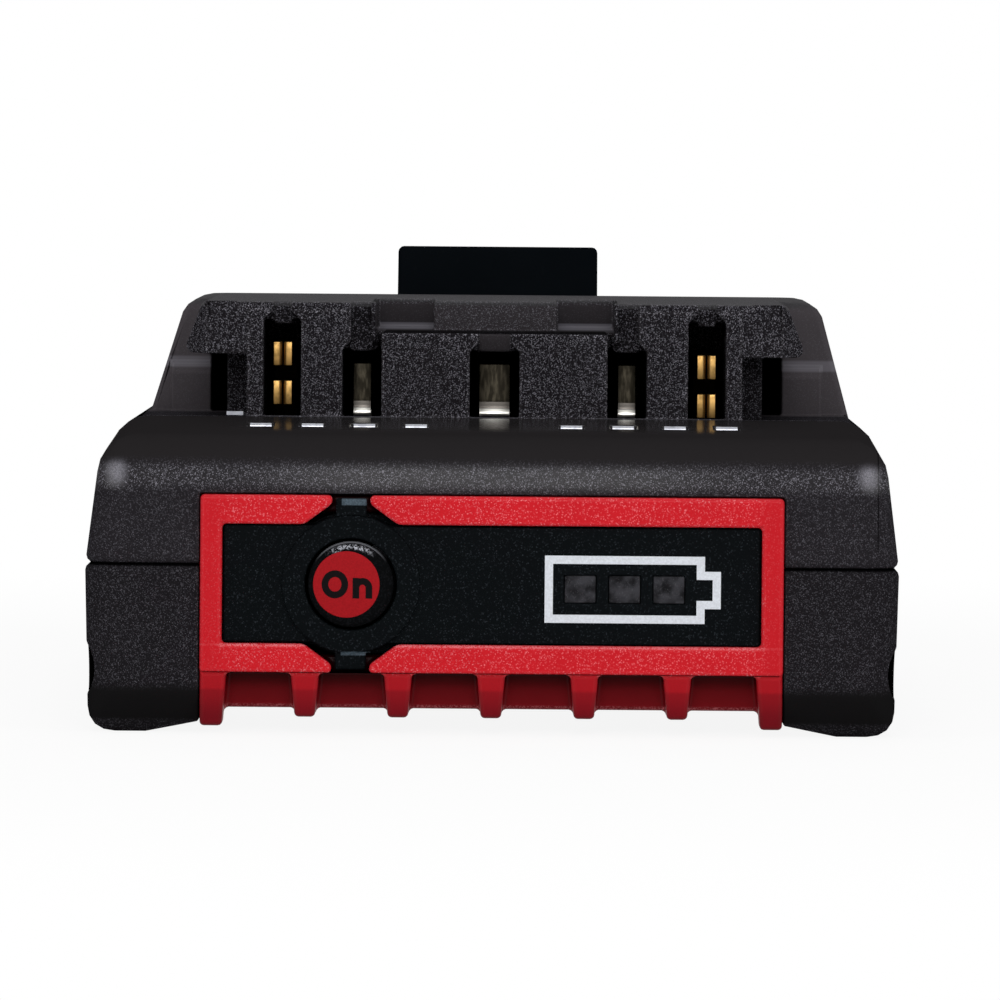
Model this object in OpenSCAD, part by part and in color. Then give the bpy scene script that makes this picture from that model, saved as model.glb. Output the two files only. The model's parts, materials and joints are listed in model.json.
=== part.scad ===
// Slide-on battery pack for a hand-held power tool, in millimetres.
// Frame: X to the right, the gauge end faces -Y, Z up, origin under the middle of the feet.

/* [Body] */
// Width over the lower housing
body_w = 76.4; // [70:0.1:84]
// Length from the bezel's face to the back
body_l = 116; // [106:0.5:128]
// Height of the joint between the housings
joint_z = 15.9; // [15.4:0.1:16.6]
// Wall thickness of the housings
wall = 2; // [1.8:0.1:2.2]
// Height of the belly above the feet
belly_h = 2.5; // [2.2:0.1:2.7]
// Radius of the front corners seen from above
front_r = 3; // [2.9:0.1:4]
// Radius of the back corners seen from above
back_r = 6; // [4:0.5:8]
// Radius along the upper side edges of the deck
deck_r = 3.3; // [3:0.1:4]
// Radius along the upper front edge of the deck
front_edge_r = 4.8; // [4:0.1:5]
// Rise of the deck from its front edge to the tower
deck_rise = 1; // [0.6:0.1:1.4]

/* [Tower and rails] */
// Set-back of the tower's face from the front
tower_back = 26; // [24:0.5:28]
// Height of the tower above the ledges
tower_h = 12.5; // [11.8:0.1:13]
// Width of the tower under the rails
web_w = 52; // [51:0.5:53]
// Width over the rails
rail_w = 60.4; // [58:0.2:62]
// Thickness of the rails
rail_t = 5.1; // [4:0.1:5.2]
// Height of the low blocks above the ledges
block_h = 9.5; // [9:0.1:9.6]
// Length of the rear head
head_l = 31; // [30.5:0.5:32]

/* [Terminals] */
// Distance from the middle to the outer slots
outer_x = 20.5; // [20.3:0.1:20.6]
// Distance from the middle to the inner slots
inner_x = 12.8; // [12.4:0.1:13]
// Width of the outer slots
outer_w = 3.65; // [3.4:0.05:3.8]
// Width of the inner slots
inner_w = 3.8; // [3.4:0.1:4]
// Width of the middle slot
middle_w = 4.8; // [4.2:0.1:5]

/* [Gauge] */
// Width over the bezel
bezel_w = 54.6; // [53:0.1:55]
// Height of the bezel's window
window_h = 11.2; // [10.4:0.1:11.4]
// Height of the window's middle above the feet
window_z = 14.17; // [13.9:0.01:14.3]
// Width of the bezel's side bars
side_bar = 2.05; // [2:0.05:2.5]
// Width of the bezel's upper and lower bars
long_bar = 2.72; // [2.5:0.02:2.8]
// Sideways place of the button's middle
button_x = -13.2; // [-14:0.1:-12]
// Radius of the button's cap
button_r = 4; // [3.6:0.05:4.2]
// Travel of the button
button_travel = 0.6; // [0.4:0.05:0.6]

/* [Latch] */
// Width of the latch's block
latch_w = 20.9; // [19:0.1:21]
// Height of the block above the rear head
latch_rise = 4.4; // [4:0.1:4.9]
// Travel of the latch
latch_travel = 5; // [4:0.1:5]

/* [Cells] */
// Gap between neighbouring cells
cell_gap = 0.6; // [0.5:0.05:1]
// Room from a cell's end to the housing's outside
cell_end_room = 5.5; // [5.2:0.1:7]
// Height of the foam between the cell holders and the deck
foam_h = 1.5; // [1.3:0.1:2.5]

/* [Hidden] */

// Fineness
$fn = 48;
arc_steps = 6;
slice_t = 0.02;
over = 1;
sink = 0.3;

// Clearances
fit = 0.1;
light_fit = 0.05;
slide = 0.3;

// Housing, shared
front = -body_l / 2;
back = body_l / 2;
half_w = body_w / 2;
bezel_proud = 0.5;
shell_front = front + bezel_proud;
in_half_w = half_w - wall;
in_front = shell_front + wall;
in_back = back - wall;
floor_z = belly_h + wall;

// Screws that join the housings
boss_r = 3.6;
back_boss_r = 3.3;
boss_in = 5.7;
boss_x = half_w - boss_in;
front_bay = 1.3;
back_bay = 0.3;
front_boss_y = in_front + front_bay + boss_r;
back_boss_y = in_back - back_bay - back_boss_r;
screw_r = 1.5;
screw_head_r = 2.45;
screw_head_h = 2.4;
screw_seat_z = 6.5;
screw_l = 16;
socket_r = 1.3;
socket_h = 1.4;

// Cells and holders: the cells fill the length between the screw bosses
cell_count = 5;
middle_cell = (cell_count - 1) / 2;
nub_r = 4.2;
nub_h = 0.6;
holder_wall = 0.8;
holder_base = 0.7;
holder_cap = 0.6;
holder_in = 13;
holder_y0 = front_boss_y + boss_r + slide;
holder_y1 = back_boss_y - back_boss_r - slide;
cell_pitch = (holder_y1 - holder_y0 - 2 * holder_wall + cell_gap) / cell_count;
cell_d = cell_pitch - cell_gap;
cell_r = cell_d / 2;
cell_l = body_w - 2 * cell_end_room;
cell_end = cell_l / 2;
bore_r = cell_r + fit;
row_y = (holder_y0 + holder_y1) / 2;
cell_z = floor_z + holder_base + cell_r;
holder_top = cell_z + cell_r + holder_cap;
strip_t = 0.3;
strip_h = 7;
strip_over = 5;
strip_r = 1.5;
tab_w = 4;
insulator_t = 0.5;
insulator_gap = 2;
rib_t = 1.6;
rib_gap = 0.1;

// Housing, above the cells
ceiling_z = holder_top + foam_h;
ledge_z = ceiling_z + wall;
edge_r = 0.7;
upper_step = 0.1;
side_lean = 0.125;
front_lean = 0.06;
back_lean = 0.08;
deck_lift = 0.4;
deck_z = ledge_z + deck_lift;
crest_t = 0.8;
least_r = 0.4;
lean_z = joint_z + edge_r;
in_r = 1.5;
brow = 2;
brow_side = 1.5;

// Lower housing
foot_r = 2.4;
foot_lean = 0.3;
foot_in = 5.7;
slope_in = 10.6;
slope_rise = 1.05;
belly_in = 12.6;
chin_z = 5.4;
chin_r = 4;
chin_turn = 30;
chin_toe = 0.5;
scoop_tall = 4.8;
scoop_deep = 1.6;
scoop_z = 6;
scoop_r = (scoop_tall * scoop_tall / 4 + scoop_deep * scoop_deep) / (2 * scoop_deep);
scoop_x = half_w - scoop_deep + scoop_r;
scoop_lead = 3.4;
scoop_l = 1.5;
scoop_pad = 4.2;
scoop_y0 = front + scoop_lead;
scoop_y1 = scoop_y0 + scoop_l;

// Boards
board_t = 1.6;
board_z = holder_top + strip_t;
board_top = board_z + board_t;
leaf_t = 0.45;
leaf_out = 0.85;
plate_half = leaf_out + leaf_t / 2;
board_half = outer_x + plate_half + light_fit;
board_screw_in = 3.6;
board_screw_x = board_half - board_screw_in;
board_screw_r = 1.1;
board_screw_grip = 4.5;
board_screw_l = board_screw_grip + board_t + strip_t;
board_head_r = 2;
board_head_h = 1.3;
drive_r = 1;
drive_h = 0.7;
tab_under = 2.4;
tab_in = board_half - tab_under;
sheet_t = 0.3;
sheet_half = tab_in - slide;
sheet_in = 6;
sheet_slit_half = 2;
sheet_slit_l = 2;
foam_out = 1.4;
foam_w = 6;
foam_lead = 8;
foam_back = 2;
transistor_w = 6;
transistor_l = 5;
transistor_h = 1.2;
transistor_pitch = 8;
transistor_y = 2;
controller_w = 7;
controller_l = 7;
controller_h = 1;
controller_y = 10;
fuse_w = 5;
fuse_l = 3.5;
fuse_h = 1.8;
fuse_x = 13.2;
fuse_y = 9;
bead_r = 1.3;
bead_drop = 2.4;
lead_r = 0.3;
lead_half = 0.7;

// Tower
tower_y = front + tower_back;
head_y = back - head_l;
tower_top = ledge_z + tower_h;
rail_z = tower_top - rail_t;
rail_top_in = 2;
rail_lead = 2.6;
rail_lead_l = 5;
rail_low_r = 0.7;
rail_top_r = 0.8;
nose_in = 2.1;
nose_l = 6;
web_half = web_w / 2;
nose_half = web_half - nose_in;
block_z = ledge_z + block_h;
crest_z = deck_z + deck_rise;
tower_chamfer = 0.85;
top_fall = 0.35;
mouth_l = 3.5;
slot_l = 16.5;
slot_y1 = tower_y + slot_l;
roof_t = 1.8;
block_roof_z = block_z - roof_t;
middle_wall_l = 14;
pocket_l = 30;
pocket_in = 6;
side_way_w = 0.8;
slot_side = inner_x - inner_w / 2;
pocket_out = slot_side + side_way_w;
tower_cavity_half = web_half - wall;
board_bay_half = board_half + slide;
board_bay_y = tower_y + mouth_l;
board_y0 = board_bay_y + fit;
board_back = 3;
board_y1 = head_y - board_back;
carrier_h = 2;
carrier_gap = 0.2;
carrier_top = board_top + carrier_h;
bay_top = carrier_top + carrier_gap;
outer_neck_w = 1.7;
outer_neck_drop = 1.8;
outer_roof_t = 2.2;
inner_neck_w = 2.1;
inner_neck_rise = 0.2;
middle_neck_w = 3.1;
middle_neck_rise = 0.1;
base_wall = 1.5;

// Contacts
contact_back_gap = 2.2;
contact_back = slot_y1 - contact_back_gap;
contact_in = 3;
contact_tip = tower_y + contact_in;
leaf_h = 2.25;
leaf_pitch = 3.75;
leaf_rise = 1.5;
leaf_z = ledge_z + leaf_rise;
leaf_lift = 1;
leaf_pinch = 0.3;
leaf_mouth = 0.72;
leaf_run = 5;
leaf_nose = 2.2;
plate_t = 0.6;
signal_t = 0.5;
signal_w = 1.65;
middle_contact_w = 2.9;
signal_reach = 7;
signal_foot_y = contact_tip + signal_reach;
signal_stem = 0.4;
signal_knee = 1.2;
signal_dip = 0.8;
signal_dip_y = 1;
signal_face_y = 0.3;
signal_face_z0 = 1.3;
signal_face_z1 = 2.2;
signal_tip_y = 1.2;
signal_tip_z = 5;

// Vents in the deck
vent_pitch = 4.95;
vent_w = 2.4;
vent_l = 4.5;
vent_back = 16.75;
vent_y = front + vent_back;
vent_count = 4;

// Rear head
head_r = 2.4;
head_low_in = 1.5;
head_top_in = 5;
head_root = 2.4;
head_back_in = 0.7;
head_back_top_in = 1.6;
head_half_low = half_w - head_low_in;
head_half_top = half_w - head_top_in;
head_base_z = ledge_z - head_root;
head_drop = 0.8;
head_roof_t = 1.6;
head_side = 0.3;
head_tilt = 0.3;
head_top = tower_top - head_drop;
head_back_low = back - head_back_in;
head_back_top = back - head_back_top_in;
head_back_r = 5.2;
head_front_r = 0.6;
head_wall_low = 0.7;
head_wall_top = 0.4;
head_roof = head_top - head_roof_t;
head_back_t = 1.8;
head_in_back = head_back_top - head_back_t;
step_l = 1.6;
step_rise = 5;
step_y = head_y - step_l;
step_z = ledge_z + step_rise;
step_h = 1;
step_in = 3.2;
rail_way_w = 3.4;

// Latch
latch_half = latch_w / 2;
latch_back = 8;
latch_l = 10;
latch_y1 = back - latch_back;
latch_y0 = latch_y1 - latch_l;
latch_ramp = 2.4;
latch_top_r = 1;
latch_plate_half = 14;
latch_plate_t = 2.8;
latch_plate_z = head_roof - fit - latch_plate_t;
latch_plate_lead = 3;
latch_plate_y0 = latch_y0 - latch_plate_lead;
pad_half = 12.2;
pad_root = 2.8;
pad_out = 1.1;
pad_drop = 5.2;
pad_rise = 1.2;
pad_y0 = head_in_back - pad_root;
pad_y1 = head_in_back - slide;
pad_face = head_in_back + pad_out;
pad_z0 = latch_plate_z - pad_drop;
pad_z1 = latch_plate_z + pad_rise;
pad_ribs = 3;
pad_rib_t = 0.8;
pad_rib_h = 0.4;
pad_rib_half = 9.8;
thumb_half = pad_half + slide;
thumb_z0 = pad_z0 - latch_travel - slide;
thumb_z1 = pad_z1 + slide;
skirt_z = thumb_z0 - over;
retainer_t = 1.6;
retainer_room = 2.3;
retainer_top = latch_plate_z - latch_travel - retainer_room;
retainer_z = retainer_top - retainer_t;
retainer_half = 22;
retainer_lead = 2;
retainer_y0 = latch_plate_y0 - retainer_lead;
retainer_y1 = pad_y0 - slide;
retainer_screw_in = 3.5;
retainer_screw_y = 3;
retainer_x = retainer_half - retainer_screw_in;
retainer_y = latch_y0 + retainer_screw_y;
retainer_boss_r = 3;
retainer_screw_r = 1.1;
retainer_head_h = 1.2;
retainer_screw_l = 8;
spring_x = 8.5;
spring_back = 4.5;
spring_y = latch_y0 + spring_back;
spring_r = 2.35;
spring_wire_r = 0.25;
spring_turns = 6;
spring_steps = 12;
spring_sides = 6;
spring_pocket_r = 3;
spring_pocket_h = 1.3;
spring_peg_r = 1.7;
spring_peg_h = 1.2;
spring_z1 = latch_plate_z + spring_pocket_h;

// Bezel, panel and button
bezel_half = bezel_w / 2;
window_half = bezel_half - side_bar;
window_z0 = window_z - window_h / 2;
window_z1 = window_z + window_h / 2;
bezel_z0 = window_z0 - long_bar;
bezel_z1 = window_z1 + long_bar;
lip_y = in_front + fit;
lip_t = 1.3;
bezel_deep = lip_y + lip_t;
lip_w = 1.1;
lip_top = min(bezel_z1 + lip_w, ceiling_z - fit);
panel_lip = 0.95;
pocket_in_y = 1.85;
pocket_y = front + pocket_in_y;
notch_half = 1.78;
notch_wide = 4.4;
notch_rise = 0.8;
comb_count = 7;
comb_pitch = 8.72;
comb_top_half = 1.35;
comb_low_half = 0.95;
comb_l = 4.2;
comb_end_l = 5.1;
comb_in = 0.5;
comb_slant = 1.1;
comb_deep = 4.5;
comb_back_t = 1.5;
comb_back_drop = 0.2;
comb_z = bezel_z0 - comb_l;
comb_end_z = bezel_z0 - comb_end_l;
comb_y0 = front + comb_in;
comb_back_y = front + comb_deep;
comb_back_y1 = comb_back_y + comb_back_t;
shelf_t = 1.3;
panel_in = 0.7;
panel_t = 2;
panel_y0 = front + panel_in;
panel_y1 = panel_y0 + panel_t;
pad_r = 6.5;
pad_in = 0.45;
pad_y = front + pad_in;
tab_half = 1.45;
tab_front = 0.6;
tab_y0 = front + tab_front;
button_hole_r = button_r + slide;
button_y0 = front + light_fit;
button_flange_w = 1.2;
button_flange_r = button_r + button_flange_w;
button_flange_t = 0.65;
button_flange_y = panel_y1 + light_fit;
pusher_r = 1.5;
disc_r = 3.12;
disc_t = 0.35;
disc_side = 0.4;
disc_x = button_x - disc_side;
pusher_l = 1.45;
plunger_y0 = button_flange_y + pusher_l;
plunger_r = 1.6;
plunger_l = 2;
plunger_out = 0.7;
switch_y0 = plunger_y0 + plunger_out;
switch_w = 6;
switch_l = 2.4;
switch_bore_l = plunger_y0 + plunger_l + button_travel + fit - switch_y0;
gauge_y0 = switch_y0 + switch_l;
gauge_t = 1.6;
gauge_half = 23;
gauge_low = 2;
gauge_over = 0.9;
gauge_z0 = floor_z + gauge_low;
gauge_z1 = window_z1 + gauge_over;
gauge_rib_t = 1.5;
gauge_rib_in = 1.5;
lamp_x = 12.42;
lamp_pitch = 4.15;
lamp_drop = 0.31;
lamp_xs = [for (i = [-1 : 1]) lamp_x + i * lamp_pitch];
lamp_z = window_z - lamp_drop;
lamp_w = 2.9;
lamp_h = 2.55;
lamp_gap = 0.2;
chip_w = 2.2;
chip_h = 1.6;
chip_t = 0.8;
lamp_y1 = gauge_y0 - chip_t - lamp_gap;
cable_w = 6;
cable_t = 0.9;
cable_x = -5;
cable_foot = 5;
cable_bend = 2.5;

// Colours
black = [0.13, 0.13, 0.14];
red = [0.75, 0.1, 0.13];
green = [0.1, 0.35, 0.2];
brass = [0.8, 0.6, 0.25];
silver = [0.75, 0.75, 0.77];
blue = [0.2, 0.35, 0.6];
pale = [0.85, 0.85, 0.8];

// Points of an arc that rounds corner b between a and c
function toward(a, b) = (b - a) / norm(b - a);
function corner(a, b, c, r) =
    r <= 0 ? [b] :
    let (u = toward(b, a), w = toward(b, c),
         half = acos(max(-1, min(1, u * w))) / 2,
         mid = b + toward([0, 0], u + w) * r / sin(half),
         p = b + u * r / tan(half) - mid,
         q = b + w * r / tan(half) - mid,
         a0 = atan2(p[1], p[0]),
         raw = atan2(q[1], q[0]) - a0,
         turn = raw > 180 ? raw - 360 : raw < -180 ? raw + 360 : raw)
    [for (i = [0 : arc_steps]) mid + r * [cos(a0 + turn * i / arc_steps), sin(a0 + turn * i / arc_steps)]];
function rounded(pts, radii) =
    let (n = len(pts))
    [for (i = [0 : n - 1]) each corner(pts[(i + n - 1) % n], pts[i], pts[(i + 1) % n], radii[i])];

// Outline of a strip of thickness t along a path
function normal_at(path, i) =
    let (n = len(path),
         u = i == 0 ? toward(path[0], path[1]) : toward(path[i - 1], path[i]),
         w = i == n - 1 ? u : toward(path[i], path[i + 1]),
         m = toward([0, 0], u + w),
         stretch = 1 / max(0.5, m * u))
    stretch * [-m[1], m[0]];
function thick(path, t) =
    let (n = len(path))
    concat([for (i = [0 : n - 1]) path[i] + normal_at(path, i) * t / 2],
           [for (i = [n - 1 : -1 : 0]) path[i] - normal_at(path, i) * t / 2]);

// A profile in X and Z drawn out along Y
module along_y(y0, y1)
    translate([0, y1, 0]) rotate([90, 0, 0]) linear_extrude(y1 - y0) children();

// A profile in Y and Z drawn out along X
module along_x(x0, x1)
    translate([x0, 0, 0]) rotate([90, 0, 90]) linear_extrude(x1 - x0) children();

// A box from one corner to the other
module box(a, b)
    translate(a) cube(b - a);

// A round bar along Y
module bar_y(x, z, r, y0, y1)
    translate([x, y1, z]) rotate([90, 0, 0]) cylinder(r = r, h = y1 - y0);

// A round bar along Z
module bar_z(x, y, r, z0, z1)
    translate([x, y, z0]) cylinder(r = r, h = z1 - z0);

// One copy on each side
module both()
    for (s = [0, 1]) mirror([s, 0, 0]) children();

// Outline of the housing seen from above, drawn in by ix at the sides, i0 in front and i1 behind
function plan(ix, i0, i1) =
    rounded([[-half_w + ix, shell_front + i0], [half_w - ix, shell_front + i0],
             [half_w - ix, back - i1], [-half_w + ix, back - i1]],
            [max(least_r, front_r - i0), max(least_r, front_r - i0),
             max(least_r, back_r - i1), max(least_r, back_r - i1)]);

module plan_slice(z, ix, i0, i1)
    translate([0, 0, z]) linear_extrude(slice_t) polygon(plan(ix, i0, i1));

// Drawn in front: the chin turns back on an arc and runs on as a slope
function chin(z) =
    let (drop = chin_z - z, arc = chin_r * sin(chin_turn))
    drop <= 0 ? 0 :
    drop < arc ? chin_r - sqrt(chin_r * chin_r - drop * drop) :
    chin_r * (1 - cos(chin_turn)) + (drop - arc) * tan(chin_turn);

module lower_block()
    hull() {
        for (a = [0, 30, 60, 90])
            let (e = edge_r * (1 - cos(a)))
            plan_slice(joint_z - slice_t - edge_r * (1 - sin(a)), e, e, e);
        for (a = [0, 22.5, 45, 67.5, 90])
            let (e = foot_lean + foot_r * (1 - cos(a)), z = foot_r * (1 - sin(a)))
            plan_slice(z, e, chin(z) + chin_toe * e, e);
        for (k = [0 : 1 / 3 : 1])
            let (z = chin_z - chin_r * sin(k * chin_turn))
            plan_slice(z, foot_lean, chin(z), foot_lean);
    }

module belly_cut()
    along_y(front - over, back + over)
        polygon([[-half_w + foot_in, -over], [-half_w + foot_in, 0], [-half_w + slope_in, slope_rise],
                 [-half_w + belly_in, belly_h], [half_w - belly_in, belly_h],
                 [half_w - slope_in, slope_rise], [half_w - foot_in, 0], [half_w - foot_in, -over]]);

module scoop() {
    translate([scoop_x, scoop_y1, scoop_z]) rotate([90, 0, 0])
        cylinder(r = scoop_r, h = scoop_y1 - scoop_y0);
    translate([scoop_x, scoop_y0, scoop_z]) sphere(scoop_r);
    translate([scoop_x, scoop_y1, scoop_z]) sphere(scoop_r);
}

// Places of the screws that join the housings: x, y and boss radius
module at_bosses()
    both() {
        translate([boss_x, front_boss_y, 0]) children(0);
        translate([boss_x, back_boss_y, 0]) children(1);
    }

// Outline of the cavity seen from above
function cavity_plan() =
    rounded([[-in_half_w, in_front], [in_half_w, in_front], [in_half_w, in_back], [-in_half_w, in_back]],
            [in_r, in_r, back_r - wall, back_r - wall]);

module lower_cavity()
    translate([0, 0, floor_z]) linear_extrude(joint_z)
        polygon(cavity_plan());

module gauge_rail()
    difference() {
        box([gauge_half - gauge_rib_in, comb_back_y1 + fit, floor_z - sink],
            [gauge_half + gauge_rib_t, gauge_y0 + gauge_t + gauge_rib_t, joint_z - slide]);
        box([0, gauge_y0 - light_fit, gauge_z0],
            [gauge_half + light_fit, gauge_y0 + gauge_t + light_fit, joint_z + over]);
    }

module lower_housing()
    color(black) difference() {
        union() {
            difference() {
                lower_block();
                belly_cut();
                lower_cavity();
                both() scoop();
                box([-bezel_half - fit, front - over, -over],
                    [bezel_half + fit, in_front + over, joint_z + over]);
                box([-bezel_half - fit, front - over, -over],
                    [bezel_half + fit, comb_back_y1 + fit, floor_z + over]);
            }
            both() box([half_w - wall - scoop_deep, in_front + sink, floor_z - sink],
                       [half_w - wall + sink, scoop_y1 + scoop_r, scoop_z + scoop_pad]);
            both() for (i = [0 : cell_count - 2])
                translate([0, row_y + (i - (cell_count - 2) / 2) * cell_pitch - rib_t / 2, 0])
                    box([cell_end + strip_t + insulator_t + rib_gap, 0, floor_z - sink],
                        [half_w - wall + sink, rib_t, joint_z - slide]);
            both() gauge_rail();
            at_bosses() {
                bar_z(0, 0, boss_r, floor_z - sink, joint_z);
                bar_z(0, 0, back_boss_r, floor_z - sink, joint_z);
            }
        }
        at_bosses() {
            screw_way();
            screw_way();
        }
    }

module screw_way() {
    bar_z(0, 0, screw_r + fit, -over, joint_z + over);
    bar_z(0, 0, screw_head_r + fit, -over, screw_seat_z);
}

// Upper housing: the front of the deck is lower than its crest at the tower
function drawn_in(r, drop) = drop >= r ? 0 : r - sqrt(r * r - (r - drop) * (r - drop));

module deck_slice(z, drop)
    let (k = z - lean_z, x = half_w - upper_step - side_lean * k - drawn_in(deck_r, drop),
         i0 = front_lean * k + drawn_in(front_edge_r, drop),
         y1 = shell_front + front_edge_r + front_r, r = max(least_r, front_r - i0))
    translate([0, 0, z]) linear_extrude(slice_t)
        polygon(rounded([[-x, shell_front + i0], [x, shell_front + i0], [x, y1], [-x, y1]], [r, r, 0, 0]));

module crest_slice(z, drop)
    let (k = z - lean_z, e = drawn_in(deck_r, drop), x = half_w - upper_step - side_lean * k - e,
         i1 = back_lean * k + e, r = max(least_r, back_r - i1))
    translate([0, 0, z]) linear_extrude(slice_t)
        polygon(rounded([[-x, tower_y], [x, tower_y], [x, back - i1], [-x, back - i1]], [0, 0, r, r]));

module upper_block()
    hull() {
        for (a = [0, 30, 60, 90])
            let (e = edge_r * (1 - cos(a)))
            plan_slice(joint_z + edge_r * (1 - sin(a)), upper_step + e, e, e);
        for (a = [0, 15, 30, 45, 60, 75, 90])
            let (drop = front_edge_r * (1 - sin(a))) {
                deck_slice(deck_z - slice_t - drop, drop);
                crest_slice(crest_z - slice_t - drop, drop);
            }
    }

// Everything above the ledges; the deck's rounded edge runs on below them
module ledge_cut()
    box([-half_w - over, tower_y + crest_t, ledge_z], [half_w + over, back + over, tower_top + over]);

// One height of the head, whose top stands a little to the right of its foot
module head_slice(z, half, y0, y1, r)
    translate([head_side + head_tilt * (z - head_base_z) / (head_top - head_base_z), 0, z])
        linear_extrude(slice_t)
            polygon(rounded([[-half, y0], [half, y0], [half, y1], [-half, y1]],
                            [head_front_r, head_front_r, r, r]));

module rear_head()
    hull() {
        head_slice(head_base_z, head_half_low, head_y, head_back_low, head_back_r);
        for (a = [0, 22.5, 45, 67.5, 90])
            let (e = head_r * (1 - cos(a)))
            head_slice(head_top - slice_t - head_r * (1 - sin(a)), head_half_top - e,
                       head_y + e / 2, head_back_top - e, max(least_r, head_back_r - e));
    }

module head_step()
    along_x(-head_half_low + step_in, head_half_low - step_in)
        polygon([[step_y, ceiling_z], [step_y, step_z - step_h], [step_y + step_h, step_z],
                 [head_y + wall, step_z + sink], [head_y + wall, ceiling_z]]);

// Half of the rail's section, on the right
module rail_section()
    polygon(rounded([[web_half - over, rail_z], [rail_w / 2, rail_z], [rail_w / 2 - rail_top_in, tower_top],
                     [web_half - over, tower_top]], [0, rail_low_r, rail_top_r, 0]));

module rail()
    intersection() {
        along_y(tower_y + sink, head_y + wall) rail_section();
        linear_extrude(tower_top + over)
            polygon([[0, tower_y], [rail_w / 2 - rail_lead, tower_y],
                     [rail_w / 2 + sink, tower_y + rail_lead_l],
                     [rail_w / 2 + sink, head_y + back], [0, head_y + back]]);
    }

module web()
    translate([0, 0, ceiling_z + sink]) linear_extrude(tower_top - ceiling_z - sink)
        polygon([[-nose_half, tower_y], [nose_half, tower_y], [nose_half, tower_y + nose_l],
                 [web_half, tower_y + nose_l + over], [web_half, head_y + wall], [-web_half, head_y + wall],
                 [-web_half, tower_y + nose_l + over], [-nose_half, tower_y + nose_l]]);

// Front bar that carries the rails past the narrow nose
module rail_root()
    box([nose_half - over, tower_y + sink, rail_z],
        [web_half + sink, tower_y + nose_l + 2 * over, tower_top]);

// A terminal slot: a mouth open at the top, then a way under a roof
module slot(x, w, neck_z, neck_w, roof_z) {
    translate([x, 0, 0]) along_y(tower_y - over, tower_y + mouth_l)
        polygon([[-w / 2, crest_z], [w / 2, crest_z], [w / 2, neck_z],
                 [neck_w / 2, neck_z + (w - neck_w) / 2],
                 [neck_w / 2, tower_top + over], [-neck_w / 2, tower_top + over],
                 [-neck_w / 2, neck_z + (w - neck_w) / 2], [-w / 2, neck_z]]);
    box([x - w / 2, tower_y + mouth_l - sink, crest_z], [x + w / 2, slot_y1 + sink, roof_z]);
    translate([x, 0, 0]) both()
        box([neck_w / 2, tower_y + mouth_l - sink, roof_z - sink],
            [w / 2, slot_y1 + sink, max(roof_z, neck_z)]);
    box([x - w / 2, board_bay_y, bay_top - sink], [x + w / 2, slot_y1 + sink, crest_z + sink]);
}

module slots() {
    for (s = [-1, 1]) {
        slot(s * outer_x, outer_w, tower_top - outer_neck_drop, outer_neck_w, tower_top - outer_roof_t);
        slot(s * inner_x, inner_w, block_roof_z + inner_neck_rise, inner_neck_w, block_roof_z);
    }
    slot(0, middle_w, block_roof_z + middle_neck_rise, middle_neck_w, block_roof_z);
    both() box([slot_side, tower_y - over, crest_z], [pocket_out, slot_y1 + sink, block_z + over]);
}

module low_blocks() {
    box([-pocket_out, tower_y - over, block_z], [pocket_out, tower_y + middle_wall_l, tower_top + over]);
    both() box([pocket_in, tower_y, block_z], [pocket_out, tower_y + pocket_l, tower_top + over]);
}

module tower_edge()
    along_x(-nose_half - over, nose_half + over)
        polygon([[tower_y - over, tower_top - tower_chamfer - over],
                 [tower_y + tower_chamfer + over, tower_top + over], [tower_y - over, tower_top + over]]);

// The tower's top falls a little towards the head
module tower_slope()
    along_x(-rail_w / 2 - over, rail_w / 2 + over)
        polygon([[tower_y, tower_top], [head_y + wall + over, tower_top - top_fall],
                 [head_y + wall + over, tower_top + over], [tower_y, tower_top + over]]);

module tower_cavity() {
    box([-tower_cavity_half, slot_y1, ceiling_z - over],
        [tower_cavity_half, tower_y + pocket_l + wall, block_roof_z]);
    box([-tower_cavity_half, tower_y + pocket_l + wall - sink, ceiling_z - over],
        [tower_cavity_half, head_y - sink, head_roof]);
    box([-board_bay_half, board_bay_y, ceiling_z - over], [board_bay_half, slot_y1 + sink, bay_top]);
    both() box([middle_w / 2 + base_wall, board_bay_y + wall, bay_top - sink],
               [slot_side - base_wall, slot_y1 + sink, block_roof_z]);
}

module upper_cavity()
    intersection() {
        along_y(in_front, in_back)
            let (top = in_half_w - side_lean * (ceiling_z - lean_z) - brow_side)
            polygon([[-in_half_w, joint_z - over], [in_half_w, joint_z - over], [in_half_w, lean_z],
                     [top, ceiling_z], [-top, ceiling_z], [-in_half_w, lean_z]]);
        along_x(-half_w, half_w)
            polygon([[in_front, joint_z - over], [in_back, joint_z - over], [in_back, lean_z],
                     [in_back - back_lean * (ceiling_z - lean_z), ceiling_z], [in_front + brow, ceiling_z],
                     [in_front, lip_top + fit]]);
        linear_extrude(tower_top) polygon(cavity_plan());
    }

// The way that a tool's rail takes into the head
module rail_way()
    box([web_half, step_y - over, ledge_z], [web_half + rail_way_w, head_y + wall + over, rail_z]);

module head_cavity()
    along_y(head_y + wall, head_in_back)
        let (low = head_half_low - wall - head_wall_low, top = head_half_top - wall - head_wall_top)
        polygon([[-low, ceiling_z - over], [low, ceiling_z - over], [top, head_roof], [-top, head_roof]]);

module vents()
    both() for (i = [1 : vent_count])
        translate([(i + 0.5) * vent_pitch - vent_w / 2, vent_y - vent_l / 2, ceiling_z - over])
            cube([vent_w, vent_l, wall + deck_rise + 3 * over]);

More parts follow.
